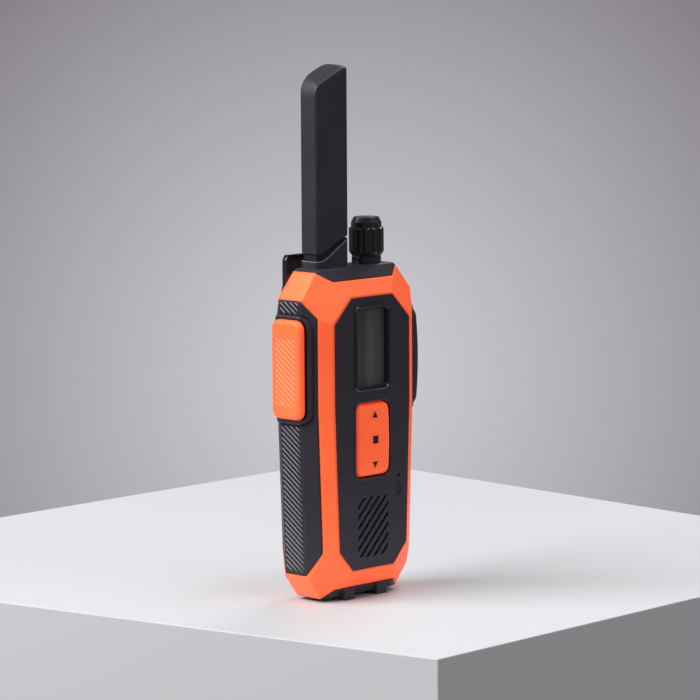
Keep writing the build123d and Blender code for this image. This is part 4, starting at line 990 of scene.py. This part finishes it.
def talk_relief(u, v):
    """Diagonal ribs in a field on the face, fading out towards its edges."""
    field = eased((TALK_FIELD[0] - abs(u)) / TALK_FADE)
    field *= eased((TALK_FIELD[1] - abs(v + TALK_FIELD_DROP)) / TALK_FADE)
    wave = 0.5 + 0.5 * math.cos(2 * math.pi * (v - u * RIB_RISE) / RIB_PITCH)
    return field * TALK_RIB * (wave**TALK_RIB_SHAPE - TALK_RIB_LEVEL)


def talk_button():
    """Soft-edged button with diagonal ribs on its face."""
    bm = bmesh.new()
    depth = TALK_BACK_X - TALK_LOW.x - TALK_RIB_ROOM
    relief_plate(
        bm,
        talk_place,
        TALK_HALF_Y,
        TALK_HALF_Z,
        TALK_CORNER,
        TALK_FILLET,
        depth,
        talk_relief,
        TALK_STEP,
    )
    piece = finished(bm, "talk_button_face", "orange_rubber", "talk_button")
    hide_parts("ptt_button")


talk_button()

# ---------------------------------------------------------------- keypad

PAD_LOW, PAD_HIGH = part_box("keypad")
PAD_MIDDLE_Z = (PAD_LOW.z + PAD_HIGH.z) / 2
PAD_HALF_X = (PAD_HIGH.x - PAD_LOW.x) / 2 - KEY_FLANGE
PAD_HALF_Z = (PAD_HIGH.z - PAD_LOW.z) / 2 - KEY_FLANGE
PAD_CORNER = 2.7 * MM
PAD_FILLET = 2.2 * MM
PAD_STEP = 0.8 * MM
PAD_CROWN = 128.0 * MM  # the face is bowed along the pad by this radius
LEGEND_PROUD = 0.02 * MM  # how far the legends stand out of the pad


def pad_place(u, v, w):
    return Vector((u, PAD_HIGH.y - w, PAD_MIDDLE_Z + v))


def pad_crown(u, v):
    return -(v**2) / (2 * PAD_CROWN)


def keypad_face():
    """Pad with a bowed face and wide soft shoulders, a hair lower than its legends."""
    bm = bmesh.new()
    depth = PAD_HIGH.y - PAD_LOW.y - LEGEND_PROUD
    relief_plate(
        bm,
        pad_place,
        PAD_HALF_X,
        PAD_HALF_Z,
        PAD_CORNER,
        PAD_FILLET,
        depth,
        pad_crown,
        PAD_STEP,
    )
    piece = finished(bm, "keypad_face", SLOT_OF["keypad"], "key_pad")
    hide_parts("keypad")


keypad_face()

# ---------------------------------------------------------------- painted highlight bead along the antenna collar

BEAD_RADIUS = 0.13 * MM
BEAD_SIDES = 8


def on_rim(edge, middle):
    """Whether the edge lies between an upward face and an outer wall."""
    if len(edge.link_faces) != 2:
        return False
    wall, top = sorted(edge.link_faces, key=lambda face: face.normal.z)
    outwards = wall.calc_center_median() - middle
    outwards.z = 0
    upright = abs(wall.normal.z) < 0.1 and wall.normal.dot(outwards) > 0
    return upright and top.normal.z > 0.3


def collar_rim():
    """Outer edge of the collar's swept-up top, as points in order."""
    bm = bmesh.new()
    bm.from_mesh(frame["nodes"]["antenna_collar"].data)
    bmesh.ops.remove_doubles(bm, verts=bm.verts, dist=WELD_REACH)
    low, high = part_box("antenna_collar")
    following = {}
    for edge in bm.edges:
        if on_rim(edge, (low + high) / 2):
            for a, b in (edge.verts, reversed(edge.verts)):
                following.setdefault(a.index, []).append(b.index)
    start = min(following)
    loop = [start]
    while True:
        onward = [v for v in following[loop[-1]] if v not in loop[-2:]]
        if not onward or onward[0] == start:
            break
        loop.append(onward[0])
    bm.verts.ensure_lookup_table()
    points = [bm.verts[v].co.copy() for v in loop]
    bm.free()
    return points


def collar_highlight_line():
    """Painted highlight: a fine light grey tube on the rim of the collar."""
    points = collar_rim()
    bm = bmesh.new()
    rings = []
    for here, point in enumerate(points):
        along = points[(here + 1) % len(points)] - points[here - 1]
        side = along.cross(Vector((0, 0, 1))).normalized()
        up = side.cross(along).normalized()
        ring = []
        for step in range(BEAD_SIDES):
            turn = 2 * math.pi * step / BEAD_SIDES
            offset = side * math.cos(turn) + up * math.sin(turn)
            ring.append(bm.verts.new(point + offset * BEAD_RADIUS))
        rings.append(ring)
    for here, ring in enumerate(rings):
        before = rings[here - 1]
        for step in range(BEAD_SIDES):
            after = (step + 1) % BEAD_SIDES
            bm.faces.new((before[step], before[after], ring[after], ring[step]))
    piece = finished(bm, "collar_highlight_line", SLOT_OF["antenna_collar"], "chassis")
    # painted highlight: the tube takes the light rib colour
    piece.data.materials[0] = RIB_HIGHLIGHT_FINISH


collar_highlight_line()

# ---------------------------------------------------------------- floor, light and camera


def stage_material(name, colour, rough):
    f = Finish(name)
    cloud = f.noise(0.25, 2.0)
    f.put("Base Color", f.blend(cloud, tuple(c * 0.985 for c in colour), colour))
    f.put("Roughness", f.span(cloud, 0.3, 0.7, rough - 0.04, rough + 0.04))
    f.bump(f.noise(0.0006, 2.0), 0.01 * MM, 0.2)
    return f.material


# Corners of the pale block's top, in millimetres, and its height
PLINTH_CORNERS = ((-60, -97), (197, -89), (215, 206), (-111, 204))
PLINTH_HEIGHT = 300 * MM
PLINTH_WHITE = (0.83, 0.83, 0.86)
PLINTH_EDGE = 0.4 * MM


def plinth():
    """Pale block that the object stands on."""
    bm = bmesh.new()
    top = [bm.verts.new((x * MM, y * MM, 0.0)) for x, y in PLINTH_CORNERS]
    low = [bm.verts.new((x * MM, y * MM, -PLINTH_HEIGHT)) for x, y in PLINTH_CORNERS]
    bm.faces.new(top)
    for i in range(4):
        j = (i + 1) % 4
        bm.faces.new((top[j], top[i], low[i], low[j]))
    bm.faces.new(list(reversed(low)))
    mesh = bpy.data.meshes.new("plinth")
    bm.to_mesh(mesh)
    bm.free()
    block = bpy.data.objects.new("plinth", mesh)
    bpy.context.scene.collection.objects.link(block)
    mesh.materials.append(stage_material("plinth_white", PLINTH_WHITE, 0.5))
    edge = block.modifiers.new("edge", "BEVEL")
    edge.width = PLINTH_EDGE
    edge.segments = 2


# Each soft box: name, place, width, height and power. All of them face the middle.
LIT_POINT = Vector((0.0, 0.0, 0.08))
SOFT_BOXES = (
    ("key", (-0.95, 0.4, 0.95), 1.0, 1.0, 19.5),
    ("top", (0.1, -0.35, 1.25), 0.9, 0.3, 3.5),
    ("front", (0.1, -1.3, 0.75), 1.0, 0.8, 2.1),
    ("rim", (0.95, 0.32, 0.9), 0.5, 0.6, 4.0),
)
AMBIENT_COLOUR = (0.93, 0.92, 0.95, 1)
AMBIENT_STRENGTH = 0.16
# The backdrop is brightest at a point of the view and falls off round it
GLOW_CENTRE = (0.49, 0.46, 0.0)
BACKDROP_LIGHT = (0.12, (0.575, 0.565, 0.595, 1))
BACKDROP_DARK = (0.72, (0.245, 0.228, 0.25, 1))


def soft_box(name, place, width, height, power):
    lamp = bpy.data.lights.new(name, "AREA")
    lamp.shape = "RECTANGLE"
    lamp.size = width
    lamp.size_y = height
    lamp.energy = power
    rig = bpy.data.objects.new(name, lamp)
    bpy.context.scene.collection.objects.link(rig)
    rig.location = place
    rig.rotation_euler = (LIT_POINT - Vector(place)).to_track_quat("-Z", "Y").to_euler()


def studio():
    """Grey backdrop for the camera and an even light from all round."""
    world = bpy.data.worlds.new("studio")
    bpy.context.scene.world = world
    world.use_nodes = True
    tree = world.node_tree
    tree.nodes.clear()
    out = tree.nodes.new("ShaderNodeOutputWorld")
    seen = tree.nodes.new("ShaderNodeBackground")
    light = tree.nodes.new("ShaderNodeBackground")
    light.inputs["Color"].default_value = AMBIENT_COLOUR
    light.inputs["Strength"].default_value = AMBIENT_STRENGTH
    window = tree.nodes.new("ShaderNodeTexCoord").outputs["Window"]
    centred = tree.nodes.new("ShaderNodeVectorMath")
    centred.operation = "DISTANCE"
    centred.inputs[1].default_value = GLOW_CENTRE
    tree.links.new(window, centred.inputs[0])
    fall = tree.nodes.new("ShaderNodeValToRGB")
    for stop, (position, colour) in zip(
        fall.color_ramp.elements, (BACKDROP_LIGHT, BACKDROP_DARK)
    ):
        stop.position = position
        stop.color = colour
    tree.links.new(centred.outputs["Value"], fall.inputs["Fac"])
    tree.links.new(fall.outputs["Color"], seen.inputs["Color"])
    paths = tree.nodes.new("ShaderNodeLightPath")
    mix = tree.nodes.new("ShaderNodeMixShader")
    tree.links.new(paths.outputs["Is Camera Ray"], mix.inputs["Fac"])
    tree.links.new(light.outputs[0], mix.inputs[1])
    tree.links.new(seen.outputs[0], mix.inputs[2])
    tree.links.new(mix.outputs[0], out.inputs["Surface"])


CAMERA_PLACE = Vector((-0.9283, -0.8931, 0.2451))
CAMERA_TARGET = Vector((0.00235, 0.0, 0.0830))
CAMERA_ROLL = math.radians(0.347)
CAMERA_LENS = 198.2


def camera():
    """Long lens from the photo's side, a little above the display."""
    lens = bpy.data.cameras.new("camera")
    lens.lens = CAMERA_LENS
    lens.sensor_width = 36.0
    lens.clip_start = 0.05
    lens.clip_end = 20.0
    eye = bpy.data.objects.new("camera", lens)
    bpy.context.scene.collection.objects.link(eye)
    eye.location = CAMERA_PLACE
    aim = (CAMERA_TARGET - CAMERA_PLACE).to_track_quat("-Z", "Y")
    eye.rotation_mode = "QUATERNION"
    eye.rotation_quaternion = aim @ Quaternion((0, 0, 1), -CAMERA_ROLL)
    bpy.context.scene.camera = eye


plinth()
studio()
for box in SOFT_BOXES:
    soft_box(*box)
camera()
bpy.context.scene.view_settings.view_transform = "Standard"
